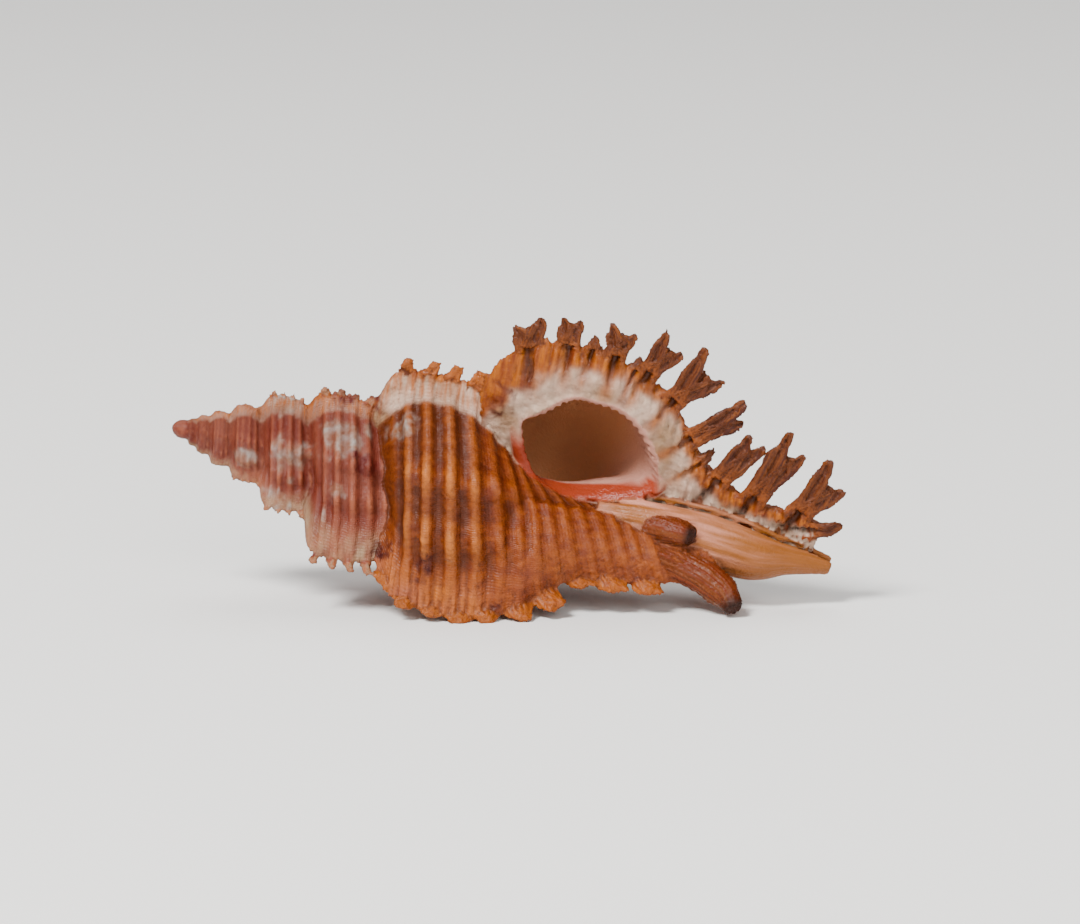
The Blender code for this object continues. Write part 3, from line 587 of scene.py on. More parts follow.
def frond_tree():
    """Leaves with a channel down the front and a ragged tip, one on each given point."""
    tree = new_geometry_tree("Fronds", [
        ("Sides", "Int", 28), ("Steps", "Int", 20), ("Curl", "Float", 0.55),
        ("Channel", "Float", 0.5), ("Ragged Tip", "Float", 0.4), ("Frill", "Float", 0.11 * MM),
        ("Frill Size", "Float", 1.6 * MM), ("Seed", "Float", 4.0), ("Material", "Material", None)])
    given = add(tree, "NodeGroupInput").outputs
    maths = "ShaderNodeMath"
    leaf = add(tree, "GeometryNodeMeshCylinder", {"Vertices": given["Sides"],
                                                  "Side Segments": given["Steps"], "Radius": 1.0,
                                                  "Depth": 1.0}, fill_type="NGON")
    spot = add(tree, "ShaderNodeSeparateXYZ", {0: add(tree, "GeometryNodeInputPosition")}).outputs
    share = add(tree, maths, {0: spot["Z"], 1: 1 + LEAF_SUNK, 2: (1 - LEAF_SUNK) / 2},
                operation="MULTIPLY_ADD")
    up = add(tree, maths, {0: share, 1: 0.0}, operation="MAXIMUM")
    bulge = add(tree, "ShaderNodeFloatCurve", {"Value": up})
    set_curve(bulge, LEAF_BULGE)
    x = add(tree, maths, {0: spot["X"], 1: bulge}, operation="MULTIPLY")
    thick = add(tree, maths, {0: up, 1: -LEAF_THINS, 2: LEAF_THICKNESS},
                operation="MULTIPLY_ADD")
    y = add(tree, maths, {0: spot["Y"], 1: thick}, operation="MULTIPLY")
    # A channel runs down the front, and the leaf curls back towards its tip.
    edge = add(tree, maths, {0: spot["X"]}, operation="ABSOLUTE")
    channel = add(tree, maths, {0: edge, 1: 1.6}, operation="POWER")
    channel = add(tree, maths, {0: channel, 1: 0.4}, operation="SUBTRACT")
    channel = add(tree, maths, {0: channel, 1: given["Channel"]}, operation="MULTIPLY")
    y = add(tree, maths, {0: y, 1: channel}, operation="ADD")
    back = add(tree, maths, {0: up, 1: 2.0}, operation="POWER")
    back = add(tree, maths, {0: back, 1: given["Curl"]}, operation="MULTIPLY")
    y = add(tree, maths, {0: y, 1: back}, operation="SUBTRACT")
    # The tip is ragged.
    jag = add(tree, maths, {0: spot["X"], 1: 4.2, 2: 0.8}, operation="MULTIPLY_ADD")
    jag = add(tree, maths, {0: jag}, operation="SINE")
    jag = add(tree, maths, {0: jag}, operation="ABSOLUTE")
    late = add(tree, maths, {0: up, 1: 4.0}, operation="POWER")
    jag = add(tree, maths, {0: jag, 1: late}, operation="MULTIPLY")
    jag = add(tree, maths, {0: jag, 1: given["Ragged Tip"]}, operation="MULTIPLY")
    z = add(tree, maths, {0: share, 1: jag}, operation="SUBTRACT")
    for name, value in (("frond", up), ("side", spot["X"])):
        leaf = add(tree, "GeometryNodeStoreNamedAttribute",
                   {"Geometry": leaf, "Name": name, "Value": value},
                   data_type="FLOAT", domain="POINT")
    point = add(tree, "ShaderNodeCombineXYZ", {0: x, 1: y, 2: z})
    leaf = add(tree, "GeometryNodeSetPosition", {"Geometry": leaf, "Position": point})
    aim = add(tree, "GeometryNodeInputNamedAttribute", {"Name": "aim"}, data_type="QUATERNION")
    size = add(tree, "GeometryNodeInputNamedAttribute", {"Name": "size"},
               data_type="FLOAT_VECTOR")
    shape = add(tree, "GeometryNodeInstanceOnPoints", {"Points": given["Geometry"],
                                                       "Instance": leaf, "Rotation": aim,
                                                       "Scale": size})
    shape = add(tree, "GeometryNodeRealizeInstances", {0: shape})
    # Frills: the further out on a leaf, the more its points stray.
    drift = add(tree, "ShaderNodeVectorMath", {0: add(tree, "GeometryNodeInputPosition"),
                                               1: given["Frill Size"]}, operation="DIVIDE")
    noise = add(tree, "ShaderNodeTexNoise", {"Vector": drift, "W": given["Seed"], "Scale": 1.0,
                                             "Detail": 2.0}, noise_dimensions="4D")
    push = add(tree, "ShaderNodeVectorMath", {0: noise.outputs["Color"], 1: (0.5, 0.5, 0.5)},
               operation="SUBTRACT")
    share = add(tree, "GeometryNodeInputNamedAttribute", {"Name": "frond"}, data_type="FLOAT")
    reach = add(tree, maths, {0: share, 1: given["Frill"]}, operation="MULTIPLY")
    reach = add(tree, maths, {0: reach, 1: 8.0}, operation="MULTIPLY")
    push = add(tree, "ShaderNodeVectorMath", {0: push, "Scale": reach}, operation="SCALE")
    shape = add(tree, "GeometryNodeSetPosition", {"Geometry": shape, "Offset": push})
    shape = add(tree, "GeometryNodeSetMaterial", {"Geometry": shape,
                                                  "Material": given["Material"]})
    add(tree, "NodeGroupOutput", {0: shape})
    return tree


def record_tree():
    """Gives each point of a shape the marks of the nearest point of the growth, three at a time,
    and two noises: lumps about 4 mm wide and grit about 1.2 mm wide."""
    tree = new_geometry_tree("Marks of growth", [
        ("Growth", "Object", None), ("Lumps a Metre", "Float", 260.0),
        ("Grit a Metre", "Float", 900.0), ("Seed", "Float", 3.0)])
    given = add(tree, "NodeGroupInput").outputs
    source = add(tree, "GeometryNodeObjectInfo", {"Object": given["Growth"]},
                 transform_space="ORIGINAL").outputs["Geometry"]
    shape = given["Geometry"]
    for first in range(0, len(MARKS), 3):
        three = [add(tree, "GeometryNodeInputNamedAttribute", {"Name": name}, data_type="FLOAT")
                 for name in MARKS[first:first + 3]]
        packed = add(tree, "ShaderNodeCombineXYZ", dict(enumerate(three)))
        near = add(tree, "GeometryNodeSampleNearestSurface", {"Mesh": source, "Value": packed},
                   data_type="FLOAT_VECTOR")
        packed = add(tree, "GeometryNodeStoreNamedAttribute",
                     {"Geometry": shape, "Name": "packed", "Value": near},
                     data_type="FLOAT_VECTOR", domain="POINT")
        stored = add(tree, "GeometryNodeInputNamedAttribute", {"Name": "packed"},
                     data_type="FLOAT_VECTOR")
        parts = add(tree, "ShaderNodeSeparateXYZ", {0: stored}).outputs
        shape = packed
        for name, value in zip(MARKS[first:first + 3], parts):
            shape = add(tree, "GeometryNodeStoreNamedAttribute",
                        {"Geometry": shape, "Name": name, "Value": value},
                        data_type="FLOAT", domain="POINT")
    for name, scale in (("lump", given["Lumps a Metre"]), ("grit", given["Grit a Metre"])):
        noise = add(tree, "ShaderNodeTexNoise",
                    {"Vector": add(tree, "GeometryNodeInputPosition"), "W": given["Seed"],
                     "Scale": scale, "Detail": 2.0}, noise_dimensions="4D")
        shape = add(tree, "GeometryNodeStoreNamedAttribute",
                    {"Geometry": shape, "Name": name, "Value": noise},
                    data_type="FLOAT", domain="POINT")
    shape = add(tree, "GeometryNodeRemoveAttribute", {"Geometry": shape, "Name": "packed"})
    add(tree, "NodeGroupOutput", {0: shape})
    return tree


def frond_list():
    """Every frond as (flange, root, first tip, second tip, width, thickness)."""
    found = [(0, *frond, FROND_THICKNESS) for frond in LIP_FRONDS]
    found += [(-2, *frond, FROND_THICKNESS * FRONT_THICKNESS) for frond in FRONT_FRONDS]
    for at_lip, reach, width in FRONDS_ON_CORDS:
        size = scale_at(flange_turn(-1))
        along = at_lip * size
        crest = crest_radius(-1, [along])[0]
        first, second = (along + lean for lean in BACK_LEANS)
        found.append((-1, (along, crest - 1), (first, crest * reach),
                      (second, crest * reach - BACK_DROP), width * size, FROND_THICKNESS))
    for along in BACK_CANAL_FRONDS:
        crest = crest_radius(-1, [along])[0]
        first, second = (along + lean for lean in BACK_CANAL_LEANS)
        found.append((-1, (along, crest - 1), (first, crest + BACK_CANAL_REACH[0]),
                      (second, crest + BACK_CANAL_REACH[1]), BACK_CANAL_FROND_WIDTH,
                      FROND_THICKNESS))
    for flange in range(-3, OLDEST_FLANGE - 1, -1):
        size = scale_at(flange_turn(flange))
        rise = NEWEST_OLD_RISE if flange == -3 else 1
        for at_lip, reach, width in FRONDS_ON_CORDS:
            along = at_lip * size
            crest = crest_radius(flange, [along])[0]
            top = crest * (1 + reach) / 2 + OLD_RISE * size * rise
            first, second = (along + lean * size for lean in OLD_LEANS)
            found.append((flange, (along, crest - OLD_RISE * size), (first, top),
                          (second, top - OLD_DROP * size), width * size, FROND_THICKNESS * size))
    return found


def frond_points(widen):
    """One point for each leaf: a stem and the two points that it forks into in each frond."""
    places, aims, sizes, marks = [], [], [], []
    for flange, root, first, second, width, thickness in frond_list():
        azimuth = azimuth_at(flange_turn(flange))
        root, first, second = np.array(root), np.array(first), np.array(second)
        middle = (first + second) / 2 - root
        fork = root + middle * FORK_STARTS
        for low, tip, share in ((root, root + middle * STEM_ENDS, STEM_WIDTH),
                                (fork, first, FIRST_WIDTH), (fork, second, SECOND_WIDTH)):
            start, end = place(*low, azimuth), place(*tip, azimuth)
            z = Vector(end - start)
            y = Vector((0, -math.cos(azimuth), -math.sin(azimuth)))
            x = y.cross(z).normalized()
            turned = Matrix((x, y, z.normalized())).transposed()
            places.append(start)
            aims.append(turned.to_quaternion())
            wide = {0: widen, -2: FRONT_WIDTH}.get(flange, OLD_WIDTH)
            sizes.append((width * wide * share / 2 * MM, thickness * MM, z.length))
            marks.append((flange_turn(flange), root[0] / scale_at(flange_turn(flange))))
    mesh = bpy.data.meshes.new("Frond points")
    mesh.from_pydata(places, [], [])
    store(mesh, "aim", "QUATERNION", aims)
    store(mesh, "size", "FLOAT_VECTOR", sizes)
    for name, values in zip(("age", "across"), zip(*marks)):
        store(mesh, name, "FLOAT", values)
    return mesh


def canal_line(count):
    along = np.linspace(CANAL[0][0], CANAL[-1][0], count)
    up, to_mouth, radius = along_curve(CANAL, along).T
    return np.stack([along, -to_mouth, up], axis=1) * MM, radius * MM, along


def canal():
    """The tube that the shell's siphon lay in."""
    path, radii, along = canal_line(CANAL_RINGS)
    return tube(path, radii, CANAL_SIDES, {"canal": 1.0, "across": along, "age": 0.0})


def canal_slit():
    """The narrow opening along the canal, as the shape that is cut out of it."""
    path, radii, _ = canal_line(SLIT_RINGS)
    path, radii = path[SLIT_STARTS:], radii[SLIT_STARTS:]
    path[-1] += (path[-1] - path[-2]) * 2
    out = np.array([0, -math.sin(SLIT_AZIMUTH), math.cos(SLIT_AZIMUTH)])
    side = np.array([0, -out[2], out[1]]) * SLIT_HALF_WIDTH * MM
    rings = []
    for point, radius in zip(path, radii):
        outer = point + out * (radius + SLIT_PROUD * MM)
        rings.append([point - side, outer - side, outer + side, point + side])
    return loft(rings, {})


def stump(points, azimuth, radius):
    """What is left of an older canal."""
    along = np.linspace(points[0][0], points[-1][0], STUMP_RINGS)
    path = place(along, along_curve(points, along)[:, 0], azimuth)
    way = np.linspace(0, 1, len(path))
    radii = radius * (STUMP_TAPER + (1 - STUMP_TAPER) * way) * (1 - 0.3 * way ** 14) * MM
    return tube(path, radii, STUMP_SIDES, {"canal": STUMP_MARK, "across": along,
                                           "age": STUMP_AGE, "frond": way})


def mouth_outline():
    """The opening's outline at the lip with many points, and where each stands on its way round."""
    corners = np.array(MOUTH + MOUTH[:1], float)
    steps = np.arange(len(corners), dtype=float)
    wrapped = np.column_stack([np.concatenate([steps[:1] - 1, steps, steps[-1:] + 1]),
                               np.vstack([corners[-2:-1], corners, corners[1:2]])])
    share = np.arange(MOUTH_SIDES) / MOUTH_SIDES
    return along_curve(wrapped, share * len(MOUTH)), share


def wall_share(turn):
    """How much of the mouth's width the shell's wall takes up, which is thicker further in."""
    return (THICK_LIP * smooth_step(0, THICK_LIP_TURN, -turn)
            + THICK_SPIRE * smooth_step(THICK_SPIRE_STARTS, THICK_SPIRE_FULL, -turn))


def mouth_ring(turn, outside=0.0, teeth=0.0):
    """The mouth's edge at a step of growth, moved outwards, with teeth of the given depth."""
    outline, share = mouth_outline()
    on_lip = smooth_step(0.0, 0.06, share) * (1 - smooth_step(0.47, 0.53, share))
    on_whorl = smooth_step(0.84, 0.88, share) * (1 - smooth_step(0.97, 1.0, share))
    scallops = teeth * (on_lip + 0.6 * on_whorl) * np.abs(np.sin(share * math.pi * TEETH * 2))
    outline = outline * scale_at(turn)
    centre = outline.mean(axis=0)
    arms = outline - centre
    arms *= (1 - wall_share(turn) + (outside - scallops) / np.hypot(*arms.T))[:, None]
    along, radius = (centre + arms).T
    return place(along, radius, azimuth_at(turn))


def chamber():
    """The air inside the shell. Its wall is scalloped for a little way behind the lip."""
    turns = np.linspace(-CHAMBER_TURNS, CHAMBER_OVERRUN, CHAMBER_RINGS)
    turns = np.sort(np.concatenate([turns, np.linspace(-0.06, 0.03, 12)]))
    depths = TEETH_DEPTH * smooth_step(SCALLOPS_START, SCALLOPS_FULL, turns)
    return loft([mouth_ring(t, teeth=depth) for t, depth in zip(turns, depths)], {})


def rim_share(share):
    """How far a place on the mouth's way round belongs to its thick coral side."""
    rises = smooth_step(CORAL_FROM, CORAL_FROM + 0.06, share)
    return rises * (1 - smooth_step(CORAL_TO - 0.08, CORAL_TO, share))


def mouth_rim():
    """The bead round the mouth, thick on its coral side."""
    _, share = mouth_outline()
    radii = (RIM_THIN + (RIM_THICK - RIM_THIN) * rim_share(share)) * MM
    path = mouth_ring(LIP_OVERRUN, RIM_OUTSIDE)
    return tube(path, radii, RIM_SIDES, {"across": 55.0, "flange": 1.0, "rise": 0.5, "side": 0.0},
                closed=True)


def apex_dome():
    """The round first whorl at the tip."""
    return tube([(u * MM, 0, 0) for u, _ in APEX_DOME], [r * MM for _, r in APEX_DOME],
                DOME_SIDES, {"age": DOME_AGE, "across": np.linspace(44, 64, len(APEX_DOME))})


def joined(name, shapes):
    points, faces, marks, count = [], [], {key: [] for key in MARKS}, 0
    for more, triangles, values in shapes:
        points.append(more)
        faces.append(triangles + count)
        for key in MARKS:
            marks[key].append(values[key])
        count += len(more)
    marks = {key: np.concatenate(values) for key, values in marks.items()}
    return mesh_from(name, np.concatenate(points), np.concatenate(faces), marks)


def linked(name, mesh):
    obj = bpy.data.objects.new(name, mesh)
    bpy.context.scene.collection.objects.link(obj)
    return obj


def one_skin(growth, cutters):
    """One skin of all the shapes, with the chamber and the slit cut out of it."""
    obj = linked("skin", growth)
    tools = [linked(f"cutter_{i}", mesh_from("cutter", *shape)) for i, shape in enumerate(cutters)]
    fuse = obj.modifiers.new("Fuse", "REMESH")
    fuse.mode, fuse.voxel_size = "VOXEL", FIRST_VOXEL * MM
    for tool in tools:
        cut = obj.modifiers.new("Cut", "BOOLEAN")
        cut.operation, cut.solver, cut.object = "DIFFERENCE", "EXACT", tool
    even = obj.modifiers.new("Even", "REMESH")
    even.mode, even.voxel_size = "VOXEL", LAST_VOXEL * MM
    smooth = obj.modifiers.new("Smooth", "SMOOTH")
    smooth.factor, smooth.iterations = 0.5, 3
    mesh = evaluated_mesh(obj)
    for each in [obj] + tools:
        bpy.data.objects.remove(each)
    return mesh


def with_modifier(mesh, kind, **settings):
    obj = linked("work", mesh)
    modifier = obj.modifiers.new(kind, kind)
    for name, value in settings.items():
        setattr(modifier, name, value)
    result = evaluated_mesh(obj)
    bpy.data.objects.remove(obj)
    return result


def vertex_normals(mesh):
    normals = np.empty(len(mesh.vertices) * 3, np.float32)
    mesh.vertex_normals.foreach_get("vector", normals)
    return normals.reshape(-1, 3).astype(float)


def growth_coordinates(points):
    """Along the axis and radius in millimetres, and azimuth, of points in the growth frame."""
    along = points[:, 0] / MM
    radius = np.hypot(points[:, 1], points[:, 2]) / MM
    azimuth = np.arctan2(-points[:, 1], points[:, 2]) % (2 * math.pi)
    return along, radius, azimuth


def forward_direction(azimuth):
    return np.stack([np.zeros(len(azimuth)), -np.cos(azimuth), -np.sin(azimuth)], axis=1)


def mouth_distance(points):
    """How far points are from the mouth's edge, in millimetres, and the share of the way round of
    the nearest place on it."""
    best = np.full(len(points), 1e9)
    where = np.zeros(len(points))
    for edge, share in zip(mouth_ring(LIP_OVERRUN), mouth_outline()[1]):
        gap = ((points - edge) ** 2).sum(axis=1)
        nearer = gap < best
        best[nearer], where[nearer] = gap[nearer], share
    return np.sqrt(best) / MM, where


def spokes(along, radius):
    """1 in the channels that run out over the lip's face into its fronds, 0 between them."""
    here = np.stack([along, radius], axis=1)
    share = np.zeros(len(here))
    for root, first, second, width in LIP_FRONDS:
        root = np.array(root)
        line = (np.array(first) + np.array(second)) / 2 - root
        line /= np.hypot(*line)
        gap = here - root
        ahead = gap @ line
        aside = np.abs(gap[:, 0] * line[1] - gap[:, 1] * line[0])
        reach = smooth_step(-7.0, -2.0, ahead)
        share = np.maximum(share, np.exp(-(aside / (0.17 * width + 0.1 * np.abs(ahead))) ** 2)
                           * reach)
    return share


def patches(points, places, lump, grit):
    """How far each point is in any of the patches, whose ragged edges follow lumps and grit."""
    share = np.zeros(len(points))
    for (along, to_mouth, up), reach in places:
        middle = np.array([along, -to_mouth, up]) * MM
        gap = np.sqrt(((points - middle) ** 2).sum(axis=1)) / MM / reach
        gap += (lump - 0.5) * 2.6 + (grit - 0.5) * 1.8
        share = np.maximum(share, 1 - smooth_step(0.5, 1.05, gap))
    return share


def neighbours_mean(mesh, values):
    ends = np.empty(len(mesh.edges) * 2, np.int32)
    mesh.edges.foreach_get("vertices", ends)
    a, b = ends[0::2], ends[1::2]
    count = np.bincount(a, minlength=len(values)) + np.bincount(b, minlength=len(values))
    total = (np.bincount(a, values[b], len(values)) + np.bincount(b, values[a], len(values)))
    return total / np.maximum(count, 1)


# The depth found here sets where shade is painted, dark brown in creases and hollows.
def cavity(mesh, points, normals):
    """How deep each point lies among those round it: 0.5 on an even surface, more in a groove."""
    flat = points
    for _ in range(CAVITY_ROUNDS):
        flat = np.stack([neighbours_mean(mesh, flat[:, i]) for i in range(3)], axis=1)
    depth = np.einsum("ij,ij->i", flat - points, normals) / MM
    return np.clip(0.5 + depth * 3.0, 0, 1)


class Surface:
    """What every point of the shell's skin is, in terms of its growth."""

    def __init__(self, mesh):
        self.mesh = mesh
        self.points, _, marks = mesh_parts(mesh)
        self.normals = vertex_normals(mesh)
        self.along, self.radius, self.azimuth = growth_coordinates(self.points)
        for name, values in marks.items():
            setattr(self, name, values)
        self.facing = np.einsum("ij,ij->i", self.normals, forward_direction(self.azimuth))
        self.from_mouth, self.round_mouth = mouth_distance(self.points)
        self.lining = self.inside_share()
        self.stump = ((self.canal > 0.2) & (self.canal < 0.8)).astype(float)
        self.tube = (self.canal >= 0.8).astype(float)
        # The lip's face is where growth stopped: all of it counts as the newest flange.
        gap = (self.azimuth - LIP_AZIMUTH + math.pi) % (2 * math.pi) - math.pi
        lip = ((gap > -0.08) & (gap < 2 * math.pi * LIP_OVERRUN + 0.1) & (self.facing > 0.35)
               & (self.along > 38) & (self.frond < 0.02) & (self.canal < 0.1) & (self.age > -0.2))
        self.lip_face = lip.astype(float) * (1 - self.lining)
        self.age[lip], self.across[lip], self.flange[lip] = 0.0, self.along[lip], 1.0
        crest = np.maximum(crest_radius(0, self.along[lip]), 1.0)
        self.rise[lip] = self.radius[lip] / crest
        self.spoke = spokes(self.along, self.radius) * self.lip_face
        self.phase = np.interp(self.across, CORDS, range(len(CORDS)))
        self.cord = np.cos(2 * math.pi * self.phase) * smooth_step(42.4, 44.5, self.across)
        between = (self.age * FLANGES_A_TURN) % 1.0
        rib, rib_fade = (np.interp(value, *np.array(table).T)
                         for value, table in ((between, RIB_PROFILE), (self.across, RIB_FADE)))
        self.rib = rib * rib_fade
        self.leaf = smooth_step(0.0, 0.10, self.frond) * (1 - self.stump)
        self.coral = rim_share(self.round_mouth) * (1 - smooth_step(1.25, 1.55, self.from_mouth))
        # Where it grew lengthways: round it, which one it is, and along it.
        fibrous = self.canal > 0.2
        self.strand = np.stack([
            self.side * np.where(fibrous, 15.0, 5.0),
            np.where(fibrous, 7.0 * self.canal, 3.0 * self.across),
            np.where(fibrous, 0.12 * self.across, 1.3 * self.frond)], axis=1)
        # Rays on the flanges' faces run out from the whorl.
        size = scale_at(np.minimum(self.age, 0))
        self.ray = np.stack([1.1 * self.across, 0.14 * self.radius / size,
                             5 * np.round(self.age * FLANGES_A_TURN)], axis=1)

    def inside_share(self):
        """1 on the chamber's wall, 0 elsewhere."""
        turn = (self.azimuth - LIP_AZIMUTH) / (2 * math.pi)
        best = np.zeros(len(turn))
        outline, _ = mouth_outline()
        centre = outline.mean(axis=0)
        angles = np.arctan2(*(outline - centre).T[::-1])
        order = np.argsort(angles)
        reach = np.hypot(*(outline - centre).T)
        for back in range(5):
            t = turn - back
            t = np.where(t > 0.5, t - 1, t) if back == 0 else t
            size = scale_at(t)
            du = self.along / size - centre[0]
            dr = self.radius / size - centre[1]
            wall = np.interp(np.arctan2(dr, du), angles[order], reach[order], period=2 * math.pi)
            gap = np.hypot(du, dr) - wall * (1 - wall_share(t))
            here = (t < LIP_OVERRUN + 0.004) & (t > -CHAMBER_TURNS) & (gap < 0.35)
            best = np.maximum(best, here.astype(float))
        return best


def relief(surface):
    """How far each point moves outwards, in metres: cords, beads, lamellae, channels, striae."""
    s = surface
    size = scale_at(np.minimum(s.age, 0))
    smooth = np.maximum(s.lining, smooth_step(0.0, 0.3, s.coral))
    outer = (1 - smooth) * (1 - s.tube) * (1 - s.stump) * (1 - s.leaf)
    on_body = outer * (1 - s.lip_face)
    base = smooth_step(BASE_FROM, BASE_FULL, s.across)
    low = (1 - smooth_step(0.3, 0.8, s.flange)) * (1 - 0.6 * base)
    # Cords with narrow grooves between them, and a bead where a rib crosses a cord.
    height = on_body * (RIDGE_HEIGHT * np.maximum(s.cord, 0) * (0.3 + 0.7 * low)
                        - GROOVE_DEPTH * np.maximum(-s.cord, 0) * low)
    height += on_body * BEAD_HEIGHT * s.rib ** 2 * np.maximum(s.cord, -0.2)
    # Growth lamellae: thin ledges that lean towards the lip, pushed out where they cross a cord.
    ledge = (s.age * LEDGES_A_TURN + 0.9 * (s.lump - 0.5) * 4 - 0.25 * s.cord) % 1.0
    height += on_body * LEDGE_HEIGHT * ledge ** 2 * (0.45 + 0.55 * np.maximum(s.cord, 0))
    # Threads beside the cords, the mounds of a grown surface, and grit where it is chalky.
    height += on_body * THREAD_HEIGHT * np.cos(2 * math.pi * s.phase * THREADS_A_CORD)
    height += outer * MOUND_HEIGHT * (s.lump - 0.5) * (0.35 + 0.65 * s.flange)
    height += outer * GRIT_HEIGHT * (s.grit - 0.5)
    # Folds of the flanges' frills, finer than the cords.
    frill = s.flange * (1 - s.lip_face) * (1 - 0.85 * base)
    folds = np.cos(2 * math.pi * s.phase * FOLDS_A_CORD + 5 * s.lump)
    height += outer * FOLD_HEIGHT * frill * folds
    # The lip's face: channels that run out into the fronds, with ridges between them.
    from_edge = smooth_step(1.2, 4.5, s.from_mouth)
    ridge = np.cos(2 * math.pi * s.phase * FOLDS_A_CORD + 3 * s.lump)
    height += s.lip_face * outer * from_edge * (FACE_RIDGE_HEIGHT * ridge
                                                  - FACE_CHANNEL_DEPTH * s.spoke + FACE_SWELL)
    height += s.lip_face * outer * FACE_GRIT_HEIGHT * (s.grit - 0.5)
    # Fronds: a channel down the front, and striae along them.
    front = smooth_step(-0.1, 0.3, s.facing)
    channel = np.exp(-(s.side / 0.22) ** 2) * front
    stria = np.cos(s.side * 17 + 4 * s.lump)
    height += s.leaf * (STRIA_HEIGHT * stria - LEAF_CHANNEL_DEPTH * channel
                        + LEAF_MOUND_HEIGHT * (s.lump - 0.5)) * np.sqrt(size)
    # The canal and the stumps: lines along them, and mounds.
    line = np.cos(2 * math.pi * 11 * s.side + 3 * s.lump) + 0.6 * np.cos(2 * math.pi * 19 * s.side)
    height += ((s.tube * CANAL_LINE_HEIGHT + s.stump * STUMP_LINE_HEIGHT) * line
               + s.stump * STUMP_MOUND_HEIGHT * (s.lump - 0.5))
    height += s.tube * CANAL_MOUND_HEIGHT * (s.lump - 0.5)
    height[s.lining > 0] = 0
    return height * np.where(s.leaf > 0.5, 1.0, size) * (1 - smooth) * MM


def colour_marks(surface):
    """The marks that the finishes read, each from 0 to 1."""
    s = surface
    newest = smooth_step(-0.2, -0.05, s.age)
    ragged = s.flange + (s.lump - 0.5) * 0.9
    face = smooth_step(0.0, 0.45, s.facing) * smooth_step(0.05, 0.2, s.flange)
    face = np.maximum(face, s.lip_face) * (1 - s.leaf)
    old_face = face * (1 - newest)
    # The lip's face: pale round the mouth, amber further out, brown at the crest.
    rise = s.rise + (s.lump - 0.5) * 0.25 - 0.03 * s.cord
    out = s.from_mouth + (s.lump - 0.5) * 5.0
    lip = face * newest
    pale = lip * (1 - smooth_step(3.4, 5.6, out)) * (1 - 0.6 * s.spoke)
    pale = np.maximum(pale, lip * smooth_step(66, 70, s.across) * (1 - smooth_step(0.6, 0.9, rise)))
    amber = lip * (1 - pale)
    bark = np.maximum(lip * smooth_step(0.93, 1.06, rise),
                      s.leaf * newest * smooth_step(-0.3, 0.45, s.frond))
    # An older flange's face: pale, and amber at the crest.
    pale = np.maximum(pale, old_face * (1 - smooth_step(0.75, 0.95, ragged))) * (1 - s.leaf)
    amber = np.maximum(amber, old_face * smooth_step(0.75, 0.95, ragged)) * (1 - s.leaf)
    worn = np.maximum(patches(s.points, WORN, s.lump, s.grit),
                      0.6 * smooth_step(0.62, 0.72, s.lump) * smooth_step(0.6, 0.9, s.flange)
                      * (s.age < -0.9))
    worn *= 0.6 + 0.4 * np.maximum(s.cord, 0)
    pale *= 1 - 0.65 * smooth_step(1.15, 1.4, -s.age)
    young = smooth_step(-1.35, -0.95, s.age + (s.lump - 0.5) * 0.2)
    body = smooth_step(-1.04, -1.0, s.age)
    base = smooth_step(BASE_FROM, BASE_FULL, s.across)
    low = 1 - smooth_step(0.03, 0.35, s.flange)
    # Dark between the cords, and on the body also between the ribs.
    groove = (0.5 - 0.5 * s.cord) ** 1.3 * (1 - 0.9 * s.rib) + 0.3 * (1 - s.rib) * body * (1 - base)
    groove = np.minimum(groove, 1) * (0.08 + 0.92 * low) * (1 - 0.55 * base) * (1 - face)
    ridge = np.maximum(s.cord, 0) * (0.35 + 0.65 * s.rib) * (1 - face)
    edge = smooth_step(0.2, 0.75, s.flange) * (1 - face)
    on_side = 0.5 * s.leaf * np.exp(-(s.side / 0.15) ** 2) * smooth_step(-0.2, 0.3, s.facing)
    smooth = np.maximum(s.lining, s.coral)
    return {
        "young": young,
        "spire_ridge": ridge * (1 - young),
        "body_ridge": ridge * young * (1 - 0.75 * base),
        "spire_groove": 0.28 * groove * (1 - body),
        "body_groove": groove * body * (1 - base),
        "base_groove": groove * body * base,
        "spire_edge": edge * (1 - young),
        "body_edge": edge * young * (1 - 0.8 * base),
        "worn": worn,
        "pale": pale,
        "rays": 0.85 * old_face * smooth_step(0.15, 0.5, ragged) * (1 - s.leaf),
        "amber": amber,
        "old_leaf": s.leaf,
        "spire_leaf": s.leaf * (1 - young),
        "bark": bark,
        "channel": np.maximum(on_side, s.spoke * smooth_step(3.0, 6.5, s.from_mouth)),
        "canal_skin": s.tube,
        "canal_tip": s.tube * smooth_step(67, 84, s.across),
        "stump": s.stump,
        "stump_end": s.stump * smooth_step(0.9, 1.0, s.frond),
        "red": patches(s.points, RED_STAINS, s.lump, s.grit),
        "purple": patches(s.points, PURPLE_STAINS, s.lump, s.grit),
        "brown": patches(s.points, BROWN_STAINS, s.lump, s.grit),
        # Painted shade: dark brown in creases and hollows, where the surface lies deep among its
        # neighbours.
        "hollow": (smooth_step(0.55, 0.95, cavity(s.mesh, s.points, s.normals))
                   * (1 - 0.85 * pale) * (1 - smooth) * (0.14 + 0.4 * body)),
        "lining": s.lining,
        "deep": smooth_step(1.0, 12.0, s.from_mouth) * s.lining,
        "coral": s.coral,
        "smooth": smooth,
        "threads": (1 - smooth) * (1 - s.leaf) * (1 - np.minimum(s.canal * 2, 1)),
    }


def linear(code):
    """An opaque colour from its sRGB hex code."""
    parts = [int(code[i:i + 2], 16) / 255 for i in (0, 2, 4)]
    return tuple(c / 12.92 if c <= 0.04045 else ((c + 0.055) / 1.055) ** 2.4
                 for c in parts) + (1.0,)


